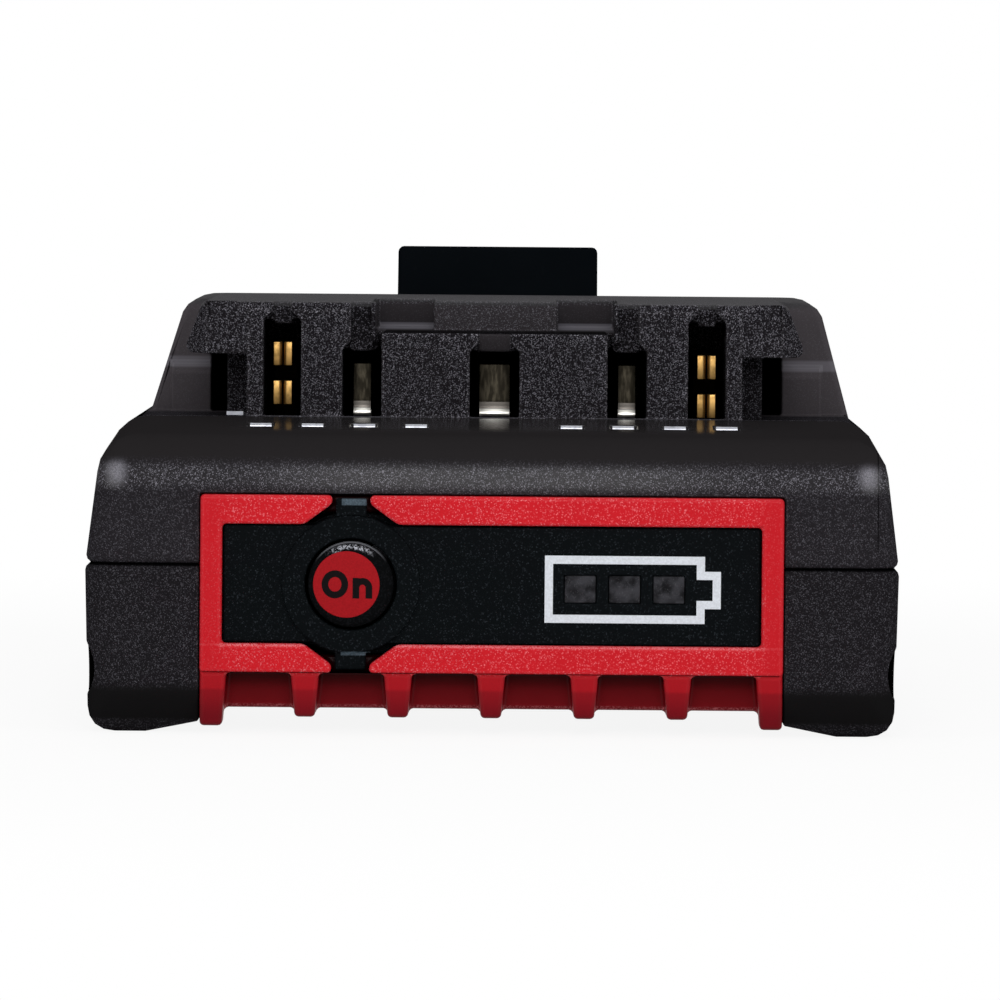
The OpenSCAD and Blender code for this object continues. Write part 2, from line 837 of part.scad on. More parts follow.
module upper_housing()
    color(black) union() {
        difference() {
            union() {
                difference() {
                    upper_block();
                    ledge_cut();
                }
                rear_head();
                head_step();
                difference() {
                    union() {
                        web();
                        both() rail();
                        both() rail_root();
                    }
                    tower_edge();
                    tower_slope();
                    low_blocks();
                }
            }
            upper_cavity();
            head_cavity();
            both() rail_way();
            tower_cavity();
            slots();
            vents();
            box([-bezel_half - fit, front - over, joint_z - over],
                [bezel_half + fit, in_front + fit, bezel_z1 + fit]);
            box([-latch_half - slide, latch_y0 - slide, head_roof - over],
                [latch_half + slide, latch_y1 + slide, tower_top + over]);
            box([-thumb_half, head_in_back - over, thumb_z0], [thumb_half, back + over, thumb_z1]);
        }
        difference() {
            at_bosses() {
                bar_z(0, 0, boss_r, joint_z, ceiling_z + sink);
                bar_z(0, 0, back_boss_r, joint_z, ceiling_z - sink);
            }
            at_bosses() {
                bar_z(0, 0, screw_r + light_fit, joint_z - over, screw_seat_z + screw_l + fit);
                bar_z(0, 0, screw_r + light_fit, joint_z - over, screw_seat_z + screw_l + fit);
            }
        }
        both() difference() {
            bar_z(retainer_x, retainer_y, retainer_boss_r, retainer_top, head_roof + sink);
            bar_z(retainer_x, retainer_y, retainer_screw_r + light_fit, retainer_top - over,
                  retainer_z + retainer_screw_l + fit);
        }
    }

// Front bezel
module notch_cut()
    for (s = [-1, 1])
        translate([button_x, 0, window_z]) mirror([0, 0, s < 0 ? 1 : 0])
            along_y(front - over, pocket_y)
                let (low = window_h / 2, high = low + long_bar)
                polygon([[-notch_wide, low - sink], [notch_wide, low - sink], [notch_wide, low],
                         [notch_half, high - notch_rise], [notch_half, high + over],
                         [-notch_half, high + over], [-notch_half, high - notch_rise],
                         [-notch_wide, low]]);

module comb()
    intersection() {
        for (i = [0 : comb_count - 1])
            let (first = i == 0, last = i == comb_count - 1, low = first || last ? comb_end_z : comb_z)
            translate([(i - (comb_count - 1) / 2) * comb_pitch, 0, 0]) along_y(front, comb_back_y + sink)
                polygon([[-comb_top_half, bezel_z0 + sink], [comb_top_half, bezel_z0 + sink],
                         [last ? comb_top_half : comb_low_half, low],
                         [first ? -comb_top_half : -comb_low_half, low]]);
        along_x(-bezel_half, bezel_half)
            polygon([[comb_y0, bezel_z0 + over], [comb_y0, bezel_z0 - over],
                     [comb_y0 + comb_slant, comb_end_z - over],
                     [comb_back_y + sink, comb_end_z - over], [comb_back_y + sink, bezel_z0 + over]]);
    }

module front_bezel()
    color(red) union() {
        difference() {
            union() {
                box([-bezel_half, front, bezel_z0], [bezel_half, bezel_deep, bezel_z1]);
                box([-bezel_half - lip_w, lip_y, bezel_z0], [bezel_half + lip_w, bezel_deep, lip_top]);
            }
            box([-window_half, front - over, window_z0], [window_half, bezel_deep + over, window_z1]);
            box([-window_half - panel_lip - fit, pocket_y, window_z0 - panel_lip - fit],
                [window_half + panel_lip + fit, bezel_deep + over, window_z1 + panel_lip + fit]);
            notch_cut();
        }
        box([-bezel_half, pocket_y, bezel_z0], [bezel_half, comb_back_y1, bezel_z0 + shelf_t]);
        box([-bezel_half, comb_back_y, belly_h - comb_back_drop],
            [bezel_half, comb_back_y1, bezel_z0 + shelf_t]);
        comb();
    }

module indicator_panel()
    color(black) difference() {
        union() {
            box([-window_half + fit, panel_y0, window_z0 + fit],
                [window_half - fit, pocket_y + fit, window_z1 - fit]);
            box([-window_half - panel_lip, pocket_y + light_fit, window_z0 - panel_lip],
                [window_half + panel_lip, panel_y1, window_z1 + panel_lip]);
            bar_y(button_x, window_z, pad_r, pad_y, pocket_y + fit);
            box([button_x - tab_half, tab_y0, bezel_z0 + sink],
                [button_x + tab_half, pocket_y - light_fit, bezel_z1 - sink]);
        }
        bar_y(button_x, window_z, button_hole_r, front - over, panel_y1 + over);
        for (x = lamp_xs)
            box([x - lamp_w / 2 - light_fit, front - over, lamp_z - lamp_h / 2 - light_fit],
                [x + lamp_w / 2 + light_fit, panel_y1 + over, lamp_z + lamp_h / 2 + light_fit]);
    }

module indicator_windows()
    color(pale) for (x = lamp_xs)
        box([x - lamp_w / 2, panel_y0 + light_fit, lamp_z - lamp_h / 2],
            [x + lamp_w / 2, lamp_y1, lamp_z + lamp_h / 2]);

module on_button()
    color(black) difference() {
        union() {
            bar_y(button_x, window_z, button_r, button_y0, button_flange_y + sink);
            bar_y(button_x, window_z, button_flange_r, button_flange_y, button_flange_y + button_flange_t);
            bar_y(button_x, window_z, pusher_r, button_flange_y, plunger_y0);
        }
        bar_y(disc_x, window_z, disc_r + light_fit, front - over, front + disc_t);
    }

module button_disc()
    color(red) bar_y(disc_x, window_z, disc_r, front, front + disc_t);

module switch_plunger()
    color(pale) bar_y(button_x, window_z, plunger_r, plunger_y0, plunger_y0 + plunger_l);

module gauge_switch()
    color(black) difference() {
        box([button_x - switch_w / 2, switch_y0, window_z - switch_w / 2],
            [button_x + switch_w / 2, gauge_y0, window_z + switch_w / 2]);
        bar_y(button_x, window_z, plunger_r + slide, switch_y0 - over, switch_y0 + switch_bore_l);
    }

module gauge_board()
    color(green) box([-gauge_half, gauge_y0, gauge_z0], [gauge_half, gauge_y0 + gauge_t, gauge_z1]);

module gauge_lamps()
    color(pale) for (x = lamp_xs)
        box([x - chip_w / 2, gauge_y0 - chip_t, lamp_z - chip_h / 2],
            [x + chip_w / 2, gauge_y0, lamp_z + chip_h / 2]);

module gauge_cable()
    color(pale) along_x(cable_x - cable_w / 2, cable_x + cable_w / 2)
        let (y0 = gauge_y0 + gauge_t + cable_t / 2,
             z1 = holder_top + sheet_t + light_fit + cable_t / 2,
             r = cable_bend)
        polygon(thick(concat([[y0, gauge_z1 - cable_foot]],
                             [for (a = [0 : 18 : 90]) [y0 + r * (1 - cos(a)), z1 - r * (1 - sin(a))]],
                             [[board_y0 - light_fit, z1]]), cable_t));

// Terminals
module terminal_carrier()
    color(black) difference() {
        box([-board_half, board_y0, board_top], [board_half, slot_y1 - slide, carrier_top]);
        for (s = [-1, 1]) {
            carrier_way(s * outer_x, 2 * plate_half, contact_back - leaf_t, contact_back + plate_t);
            carrier_way(s * inner_x, signal_w, signal_foot_y - signal_t / 2, signal_foot_y + signal_t / 2);
        }
        carrier_way(0, middle_contact_w, signal_foot_y - signal_t / 2, signal_foot_y + signal_t / 2);
    }

// The way of one contact through the carrier
module carrier_way(x, w, y0, y1)
    box([x - w / 2 - light_fit, y0 - light_fit, board_top - over],
        [x + w / 2 + light_fit, y1 + light_fit, carrier_top + over]);

module leaf_pair(z)
    for (s = [-1, 1])
        translate([0, 0, z]) linear_extrude(leaf_h)
            polygon(thick([[s * leaf_out, contact_back + sink],
                           [s * leaf_out, contact_back - leaf_run],
                           [s * leaf_pinch, contact_tip + leaf_nose],
                           [s * leaf_mouth, contact_tip]], leaf_t));

module power_contact(x, lift)
    color(brass) translate([x, 0, 0]) {
        box([-plate_half, contact_back, board_top],
            [plate_half, contact_back + plate_t, leaf_z + lift + leaf_pitch + leaf_h]);
        leaf_pair(leaf_z + lift);
        leaf_pair(leaf_z + lift + leaf_pitch);
    }

module signal_contact(x, w)
    color(silver) along_x(x - w / 2, x + w / 2)
        polygon(thick([[signal_foot_y, board_top],
                       [signal_foot_y, carrier_top + signal_stem],
                       [signal_foot_y - signal_knee, carrier_top + signal_knee],
                       [contact_tip + signal_dip_y, crest_z + signal_dip],
                       [contact_tip + signal_face_y, crest_z + signal_face_z0],
                       [contact_tip + signal_face_y, crest_z + signal_face_z1],
                       [contact_tip + signal_tip_y, crest_z + signal_tip_z]], signal_t));

// Control board
module at_board_screws()
    both() for (i = [-0.5, 0.5])
        translate([board_screw_x, row_y + i * cell_pitch, 0]) children();

module control_board()
    color(green) difference() {
        box([-board_half, board_y0, board_z], [board_half, board_y1, board_top]);
        at_board_screws() bar_z(0, 0, board_screw_r + fit, board_z - over, board_top + over);
    }

module board_screws()
    color(silver) at_board_screws() difference() {
        union() {
            bar_z(0, 0, board_screw_r, board_top - board_screw_l, board_top + sink);
            bar_z(0, 0, board_head_r, board_top, board_top + board_head_h);
        }
        translate([0, 0, board_top + board_head_h - drive_h]) cylinder(r = drive_r, h = over, $fn = 6);
    }

module power_transistors()
    color(black) for (i = [-1 : 1])
        translate([i * transistor_pitch - transistor_w / 2, row_y + transistor_y, board_top])
            cube([transistor_w, transistor_l, transistor_h]);

module controller_chip()
    color(black) translate([-controller_w / 2, row_y - controller_y, board_top])
        cube([controller_w, controller_l, controller_h]);

module fuse()
    color(pale) translate([-fuse_x, row_y - fuse_y, board_top]) cube([fuse_w, fuse_l, fuse_h]);

module insulation_sheet()
    color(pale) difference() {
        box([-sheet_half, holder_y0 + sheet_in, holder_top],
            [sheet_half, holder_y1 - sheet_in, holder_top + sheet_t]);
        at_board_screws() bar_z(0, 0, board_screw_r + fit, holder_top - over, holder_top + over);
        translate([0, row_y - cell_pitch / 2, holder_top])
            cube([2 * sheet_slit_half, sheet_slit_l, 2 * over], center = true);
    }

module thermistor()
    color(black) translate([0, row_y - cell_pitch / 2, 0]) {
        translate([0, 0, holder_top - bead_drop]) sphere(bead_r);
        for (x = [-lead_half, lead_half])
            bar_z(x, 0, lead_r, holder_top - bead_drop, board_z);
    }

module foam_strips()
    color(black) both()
        box([board_half + foam_out, holder_y0 + foam_lead, holder_top + strip_t],
            [board_half + foam_out + foam_w, head_y - foam_back, ceiling_z - light_fit]);

// Cells; even ones have their positive end on the right
module cell(i)
    color(blue) translate([0, row_y + (i - middle_cell) * cell_pitch, cell_z])
        mirror([i % 2, 0, 0]) rotate([0, 90, 0]) {
            translate([0, 0, -cell_end]) cylinder(r = cell_r, h = cell_l - nub_h);
            translate([0, 0, cell_end - nub_h - sink]) cylinder(r = nub_r, h = nub_h + sink);
        }

module cell_1() cell(0);
module cell_2() cell(1);
module cell_3() cell(2);
module cell_4() cell(3);
module cell_5() cell(4);

module cell_holder()
    color(black) difference() {
        box([holder_in, holder_y0, floor_z], [cell_end, holder_y1, holder_top]);
        for (i = [0 : cell_count - 1])
            translate([0, row_y + (i - middle_cell) * cell_pitch, cell_z]) rotate([0, 90, 0])
                cylinder(r = bore_r, h = cell_l);
        for (i = [-0.5, 0.5])
            bar_z(board_screw_x, row_y + i * cell_pitch, board_screw_r + light_fit,
                  board_top - board_screw_l - fit, holder_top + over);
    }

module cell_holder_left() mirror([1, 0, 0]) cell_holder();
module cell_holder_right() cell_holder();

// A strip over the cells from a to b, on the right, with a tab folded in over the holder
module strip(a, b)
    color(silver) {
        along_x(cell_end, cell_end + strip_t)
            polygon(rounded([[row_y + (a - middle_cell) * cell_pitch - strip_over, cell_z - strip_h / 2],
                             [row_y + (b - middle_cell) * cell_pitch + strip_over, cell_z - strip_h / 2],
                             [row_y + (b - middle_cell) * cell_pitch + strip_over, cell_z + strip_h / 2],
                             [row_y + (a - middle_cell) * cell_pitch - strip_over, cell_z + strip_h / 2]],
                            [for (i = [1 : 4]) strip_r]));
        translate([0, row_y + (a - middle_cell) * cell_pitch, 0]) {
            box([cell_end, -tab_w / 2, cell_z], [cell_end + strip_t, tab_w / 2, holder_top + strip_t]);
            box([tab_in, -tab_w / 2, holder_top], [cell_end + strip_t, tab_w / 2, holder_top + strip_t]);
        }
    }

module negative_strip() mirror([1, 0, 0]) strip(0, 0);
module series_strip_1() strip(0, 1);
module series_strip_2() mirror([1, 0, 0]) strip(1, 2);
module series_strip_3() strip(2, 3);
module series_strip_4() mirror([1, 0, 0]) strip(3, 4);
module positive_strip() strip(4, 4);

module end_insulator()
    color(pale)
        box([cell_end + strip_t, holder_y0 + insulator_gap, floor_z + insulator_gap],
            [cell_end + strip_t + insulator_t, holder_y1 - insulator_gap, holder_top - insulator_gap]);

module end_insulator_left() mirror([1, 0, 0]) end_insulator();
module end_insulator_right() end_insulator();

// Latch
module release_latch()
    color(black) difference() {
        union() {
            along_x(-latch_half, latch_half)
                polygon(rounded([[latch_y0, latch_plate_z + sink], [latch_y1, latch_plate_z + sink],
                                 [latch_y1, tower_top + latch_rise],
                                 [latch_y0 + latch_ramp, tower_top + latch_rise],
                                 [latch_y0, tower_top]], [0, 0, latch_top_r, latch_top_r, 0]));
            box([-latch_plate_half, latch_plate_y0, latch_plate_z],
                [latch_plate_half, pad_y0 + sink, latch_plate_z + latch_plate_t]);
            box([-pad_half, pad_y0, skirt_z], [pad_half, pad_y1, latch_plate_z + latch_plate_t]);
            box([-pad_half, pad_y1 - sink, pad_z0], [pad_half, pad_face, pad_z1]);
            for (i = [1 : pad_ribs])
                translate([0, 0, pad_z0 + i * (pad_z1 - pad_z0) / (pad_ribs + 1)])
                    box([-pad_rib_half, pad_face - sink, -pad_rib_t / 2],
                        [pad_rib_half, pad_face + pad_rib_h, pad_rib_t / 2]);
        }
        both() bar_z(spring_x, spring_y, spring_pocket_r, latch_plate_z - over, spring_z1);
    }

// One spring as a tube along a helix, with both ends closed
function spring_ring(k) =
    let (n = spring_turns * spring_steps, a = 360 * k / spring_steps,
         low = retainer_top + spring_wire_r, rise = spring_z1 - retainer_top - 2 * spring_wire_r)
    [for (j = [0 : spring_sides - 1])
        let (b = 360 * j / spring_sides, r = spring_r + spring_wire_r * cos(b))
        [r * cos(a), r * sin(a), low + rise * k / n + spring_wire_r * sin(b)]];

module spring() {
    n = spring_turns * spring_steps;
    m = spring_sides;
    polyhedron(
        points = [for (k = [0 : n]) each spring_ring(k)],
        faces = concat(
            [[for (j = [0 : m - 1]) j]],
            [for (k = [0 : n - 1], j = [0 : m - 1])
                [k * m + j, (k + 1) * m + j, (k + 1) * m + (j + 1) % m, k * m + (j + 1) % m]],
            [[for (j = [m - 1 : -1 : 0]) n * m + j]]));
}

module latch_springs()
    color(silver) both() translate([spring_x, spring_y, 0]) spring();

module latch_retainer()
    color(black) difference() {
        union() {
            box([-retainer_half, retainer_y0, retainer_z], [retainer_half, retainer_y1, retainer_top]);
            both() bar_z(spring_x, spring_y, spring_peg_r, retainer_top - sink, retainer_top + spring_peg_h);
        }
        both() bar_z(retainer_x, retainer_y, retainer_screw_r + fit, retainer_z - over, retainer_top + over);
    }

module retainer_screws()
    color(silver) both() difference() {
        union() {
            bar_z(retainer_x, retainer_y, retainer_screw_r, retainer_z - sink, retainer_z + retainer_screw_l);
            bar_z(retainer_x, retainer_y, board_head_r, retainer_z - retainer_head_h, retainer_z);
        }
        translate([retainer_x, retainer_y, retainer_z - retainer_head_h - sink])
            cylinder(r = drive_r, h = over, $fn = 6);
    }

module housing_screw()
    difference() {
        union() {
            bar_z(0, 0, screw_r, screw_seat_z - sink, screw_seat_z + screw_l);
            bar_z(0, 0, screw_head_r, screw_seat_z - screw_head_h, screw_seat_z);
        }
        translate([0, 0, screw_seat_z - screw_head_h - over])
            cylinder(r = socket_r, h = socket_h + over, $fn = 6);
    }

module housing_screws()
    color(silver) at_bosses() {
        housing_screw();
        housing_screw();
    }

lower_housing();
upper_housing();
front_bezel();
indicator_panel();
indicator_windows();
on_button();
button_disc();
switch_plunger();
gauge_switch();
gauge_board();
gauge_lamps();
gauge_cable();
terminal_carrier();
power_contact(-outer_x, leaf_lift);  // power_contact_left
power_contact(outer_x, 0);  // power_contact_right
signal_contact(-inner_x, signal_w);  // signal_contact_left
signal_contact(0, middle_contact_w);  // signal_contact_middle
signal_contact(inner_x, signal_w);  // signal_contact_right
control_board();
power_transistors();
controller_chip();
fuse();
board_screws();
insulation_sheet();
thermistor();
foam_strips();
cell_1();
cell_2();
cell_3();
cell_4();
cell_5();
cell_holder_left();
cell_holder_right();
negative_strip();
series_strip_1();
series_strip_2();
series_strip_3();
series_strip_4();
positive_strip();
end_insulator_left();
end_insulator_right();
release_latch();
latch_springs();
latch_retainer();
retainer_screws();
housing_screws();
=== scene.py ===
"""Looks of a slide-on battery pack for a hand-held power tool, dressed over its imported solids."""

import json
import logging
import math
from dataclasses import dataclass
from enum import Enum
from typing import Sequence, Union

import bmesh
import bpy
import numpy as np
from mathutils import Matrix, Vector

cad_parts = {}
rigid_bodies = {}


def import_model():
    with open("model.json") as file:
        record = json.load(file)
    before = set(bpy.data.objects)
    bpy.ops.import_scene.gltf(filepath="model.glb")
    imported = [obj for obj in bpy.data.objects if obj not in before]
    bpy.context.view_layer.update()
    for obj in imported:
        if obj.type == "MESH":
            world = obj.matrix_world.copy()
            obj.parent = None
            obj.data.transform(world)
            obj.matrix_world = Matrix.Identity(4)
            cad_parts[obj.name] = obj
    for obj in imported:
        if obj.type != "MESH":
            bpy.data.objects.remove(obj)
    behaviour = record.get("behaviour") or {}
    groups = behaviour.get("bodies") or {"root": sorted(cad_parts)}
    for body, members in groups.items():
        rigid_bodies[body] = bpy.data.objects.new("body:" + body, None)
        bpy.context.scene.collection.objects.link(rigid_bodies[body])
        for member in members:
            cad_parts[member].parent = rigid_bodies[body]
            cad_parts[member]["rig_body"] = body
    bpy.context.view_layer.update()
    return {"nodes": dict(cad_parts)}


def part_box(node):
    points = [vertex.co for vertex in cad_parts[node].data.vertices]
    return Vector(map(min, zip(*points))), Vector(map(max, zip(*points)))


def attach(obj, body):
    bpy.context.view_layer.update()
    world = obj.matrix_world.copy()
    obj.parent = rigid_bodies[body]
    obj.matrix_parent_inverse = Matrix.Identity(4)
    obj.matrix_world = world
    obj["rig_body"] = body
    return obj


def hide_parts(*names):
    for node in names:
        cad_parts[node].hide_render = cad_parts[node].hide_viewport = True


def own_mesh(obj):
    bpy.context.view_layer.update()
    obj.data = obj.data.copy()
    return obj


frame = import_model()

MM = 0.001
LOG = logging.getLogger("battery_pack")

Colour = tuple[float, float, float]
Triple = tuple[float, float, float]
Value = Union["Shade", float, Colour, Triple]

UNSTRETCHED: Triple = (1.0, 1.0, 1.0)
MERGE_M = 1e-7
CAD_MERGE_M = 2e-6
FLAT_DEG = 0.6


class Body(Enum):
    """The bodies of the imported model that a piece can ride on."""

    PACK = "pack"
    BUTTON = "button"
    LATCH = "latch"


def display(red: int, green: int, blue: int) -> Colour:
    """Turn a display colour into the linear colour that shaders take.

    Args:
        red: Red from 0 to 255.
        green: Green from 0 to 255.
        blue: Blue from 0 to 255.

    Returns:
        The colour in linear light.
    """
    channels = np.array([red, green, blue]) / 255
    linear = np.where(channels <= 0.04045, channels / 12.92, ((channels + 0.055) / 1.055) ** 2.4)
    return tuple(float(c) for c in linear)


def dimmed(colour: Colour, share: float) -> Colour:
    """The colour times a share."""
    return tuple(c * share for c in colour)


class Shade:
    """A shader socket that Python arithmetic works on; each operator adds a Math node."""

    def __init__(self, paint: "Paint", socket: Union[bpy.types.NodeSocket, None]) -> None:
        """Keep the node tree's builder and the socket; a node with no output has none."""
        self.paint = paint
        self.socket = socket

    def math(self, operation: str, first: Value, second: Value) -> "Shade":
        """Add a Math node.

        Args:
            operation: The node's operation.
            first: Its first value.
            second: Its second value.

        Returns:
            The node's output.
        """
        return self.paint.node("ShaderNodeMath", {"operation": operation}, {0: first, 1: second})

    def __add__(self, other: Value) -> "Shade":
        """Sum."""
        return self.math("ADD", self, other)

    def __radd__(self, other: Value) -> "Shade":
        """Sum with a number first."""
        return self.math("ADD", other, self)

    def __sub__(self, other: Value) -> "Shade":
        """Difference."""
        return self.math("SUBTRACT", self, other)

    def __rsub__(self, other: Value) -> "Shade":
        """Difference from a number."""
        return self.math("SUBTRACT", other, self)

    def __mul__(self, other: Value) -> "Shade":
        """Product."""
        return self.math("MULTIPLY", self, other)

    def __rmul__(self, other: Value) -> "Shade":
        """Product with a number first."""
        return self.math("MULTIPLY", other, self)

    def __truediv__(self, other: Value) -> "Shade":
        """Quotient."""
        return self.math("DIVIDE", self, other)

    def __pow__(self, other: Value) -> "Shade":
        """Power."""
        return self.math("POWER", self, other)

    def most(self, other: Value) -> "Shade":
        """The larger of the two."""
        return self.math("MAXIMUM", self, other)

    def size(self) -> "Shade":
        """The value without its sign."""
        return self.math("ABSOLUTE", self, 0.0)

    def band(self, low: float, high: float) -> "Shade":
        """A soft step.

        Args:
            low: Where the step starts.
            high: Where it ends.

        Returns:
            0 up to low, 1 from high on, and a smooth rise between them.
        """
        settings = {"interpolation_type": "SMOOTHSTEP", "clamp": True}
        sockets = {"Value": self, "From Min": low, "From Max": high, "To Min": 0.0, "To Max": 1.0}
        return self.paint.node("ShaderNodeMapRange", settings, sockets)

    def below(self, low: float, high: float) -> "Shade":
        """The soft step turned round: 1 up to low and 0 from high on."""
        return 1 - self.band(low, high)


class Paint:
    """The node tree of one material while it is built."""

    def __init__(self, name: str) -> None:
        """Start an empty material.

        Args:
            name: The material's name.
        """
        self.material = bpy.data.materials.new(name)
        self.material.use_nodes = True
        self.tree = self.material.node_tree
        self.tree.nodes.clear()

    def node(self, kind: str, settings: dict, sockets: dict, output: Union[int, str] = 0) -> Shade:
        """Add a node.

        Args:
            kind: The node's type.
            settings: Its properties, which are set first.
            sockets: Values or links by the name or number of the input.
            output: The output that is wanted.

        Returns:
            That output.
        """
        made = self.tree.nodes.new(kind)
        for key, value in settings.items():
            setattr(made, key, value)
        for key, value in sockets.items():
            socket = made.inputs[key]
            if isinstance(value, Shade):
                self.tree.links.new(value.socket, socket)
            elif isinstance(value, tuple) and socket.type == "RGBA":
                socket.default_value = (*value, 1.0)
            else:
                socket.default_value = value
        return Shade(self, made.outputs[output]) if made.outputs else Shade(self, None)

    def place(self, stretch: Triple = UNSTRETCHED) -> Shade:
        """Object coordinates, stretched along the axes.

        Args:
            stretch: Scale along X, Y and Z.

        Returns:
            The coordinates as a vector.
        """
        plain = self.node("ShaderNodeTexCoord", {}, {}, "Object")
        if stretch == UNSTRETCHED:
            return plain
        return self.node("ShaderNodeMapping", {}, {"Vector": plain, "Scale": stretch})

    def axis(self, name: str) -> Shade:
        """One object coordinate in millimetres, by its letter."""
        return self.node("ShaderNodeSeparateXYZ", {}, {0: self.place()}, name) * (1 / MM)

    def noise(self, size_mm: float, detail: float = 2.0, stretch: Triple = UNSTRETCHED) -> Shade:
        """Cloudy noise.

        Args:
            size_mm: Size of its blotches.
            detail: How many finer layers it has.
            stretch: Scale of the coordinates along the axes.

        Returns:
            A value around 0.5.
        """
        sockets = {"Vector": self.place(stretch), "Scale": 1 / (size_mm * MM), "Detail": detail}
        return self.node("ShaderNodeTexNoise", {}, sockets)

    def pebbles(self, size_mm: float) -> Shade:
        """Distance to the nearest of many scattered points, size_mm apart."""
        sockets = {"Vector": self.place(), "Scale": 1 / (size_mm * MM)}
        return self.node("ShaderNodeTexVoronoi", {"feature": "F1"}, sockets, "Distance")

    def grit(self, size_mm: float) -> Shade:
        """A value around 0.5 that jumps from one cell to the next, size_mm apart."""
        sockets = {"Vector": self.place(), "Scale": 1 / (size_mm * MM)}
        return self.node("ShaderNodeTexVoronoi", {"feature": "F1"}, sockets, "Color")

    def mix(self, factor: Value, first: Value, second: Value) -> Shade:
        """Mix two colours.

        Args:
            factor: Share of the second colour.
            first: First colour.
            second: Second colour.

        Returns:
            The mixed colour.
        """
        return self.node("ShaderNodeMix", {"data_type": "RGBA"}, {0: factor, 6: first, 7: second}, 2)

    def bump(self, height: Shade, strength: float, depth_mm: float) -> Shade:
        """A normal that follows a height.

        Args:
            height: The height, from 0 to 1.
            strength: How much of it shows.
            depth_mm: What a height of 1 measures.

        Returns:
            The normal.
        """
        sockets = {"Height": height, "Strength": strength, "Distance": depth_mm * MM}
        return self.node("ShaderNodeBump", {}, sockets)

    def surface(self, sockets: dict) -> bpy.types.Material:
        """Close the material with one Principled shader.

        Args:
            sockets: The shader's values and links.

        Returns:
            The finished material.
        """
        return self.close(self.node("ShaderNodeBsdfPrincipled", {}, sockets))

    def layers(self, ground: dict, *layers: tuple[Value, dict]) -> bpy.types.Material:
        """Close the material with several Principled shaders, each laid over those before it.

        Args:
            ground: The first shader's values and links.
            layers: Share, and values and links, of each shader that follows.

        Returns:
            The finished material.
        """
        shader = self.node("ShaderNodeBsdfPrincipled", {}, ground)
        for share, sockets in layers:
            over = self.node("ShaderNodeBsdfPrincipled", {}, sockets)
            shader = self.node("ShaderNodeMixShader", {}, {0: share, 1: shader, 2: over})
        return self.close(shader)

    def close(self, shader: Shade) -> bpy.types.Material:
        """End the material with a shader."""
        self.node("ShaderNodeOutputMaterial", {}, {"Surface": shader})
        return self.material


@dataclass(frozen=True)
class GrainedPlastic:
    """Moulded plastic with a fine spark-eroded grain."""

    colour: Colour
    speck: Colour
    grain_mm: float = 0.34
    bump: float = 0.5
    speck_share: float = 0.5
    roughness: float = 0.5
    specular: float = 0.3
    cloud_mm: float = 9.0
    cloud_shade: float = 0.82

    def paint(self, name: str) -> bpy.types.Material:
        """Build the material.

        Args:
            name: The material's name.

        Returns:
            The material.
        """
        paint = Paint(name)
        fine = paint.noise(self.grain_mm, 3.0)
        pebble = paint.pebbles(self.grain_mm * 1.3)
        height = fine * 0.65 + (1 - pebble) * 0.35
        specks = fine.band(0.56, 0.72) * self.speck_share
        clouds = paint.noise(self.cloud_mm, 2.0).band(0.3, 0.7)
        base = paint.mix(clouds, dimmed(self.colour, self.cloud_shade), self.colour)
        return paint.surface({
            "Base Color": paint.mix(specks, base, self.speck),
            "Roughness": self.roughness + (fine - 0.5) * 0.25,
            "Specular IOR Level": self.specular,
            "Normal": paint.bump(height, self.bump, 0.06),
        })


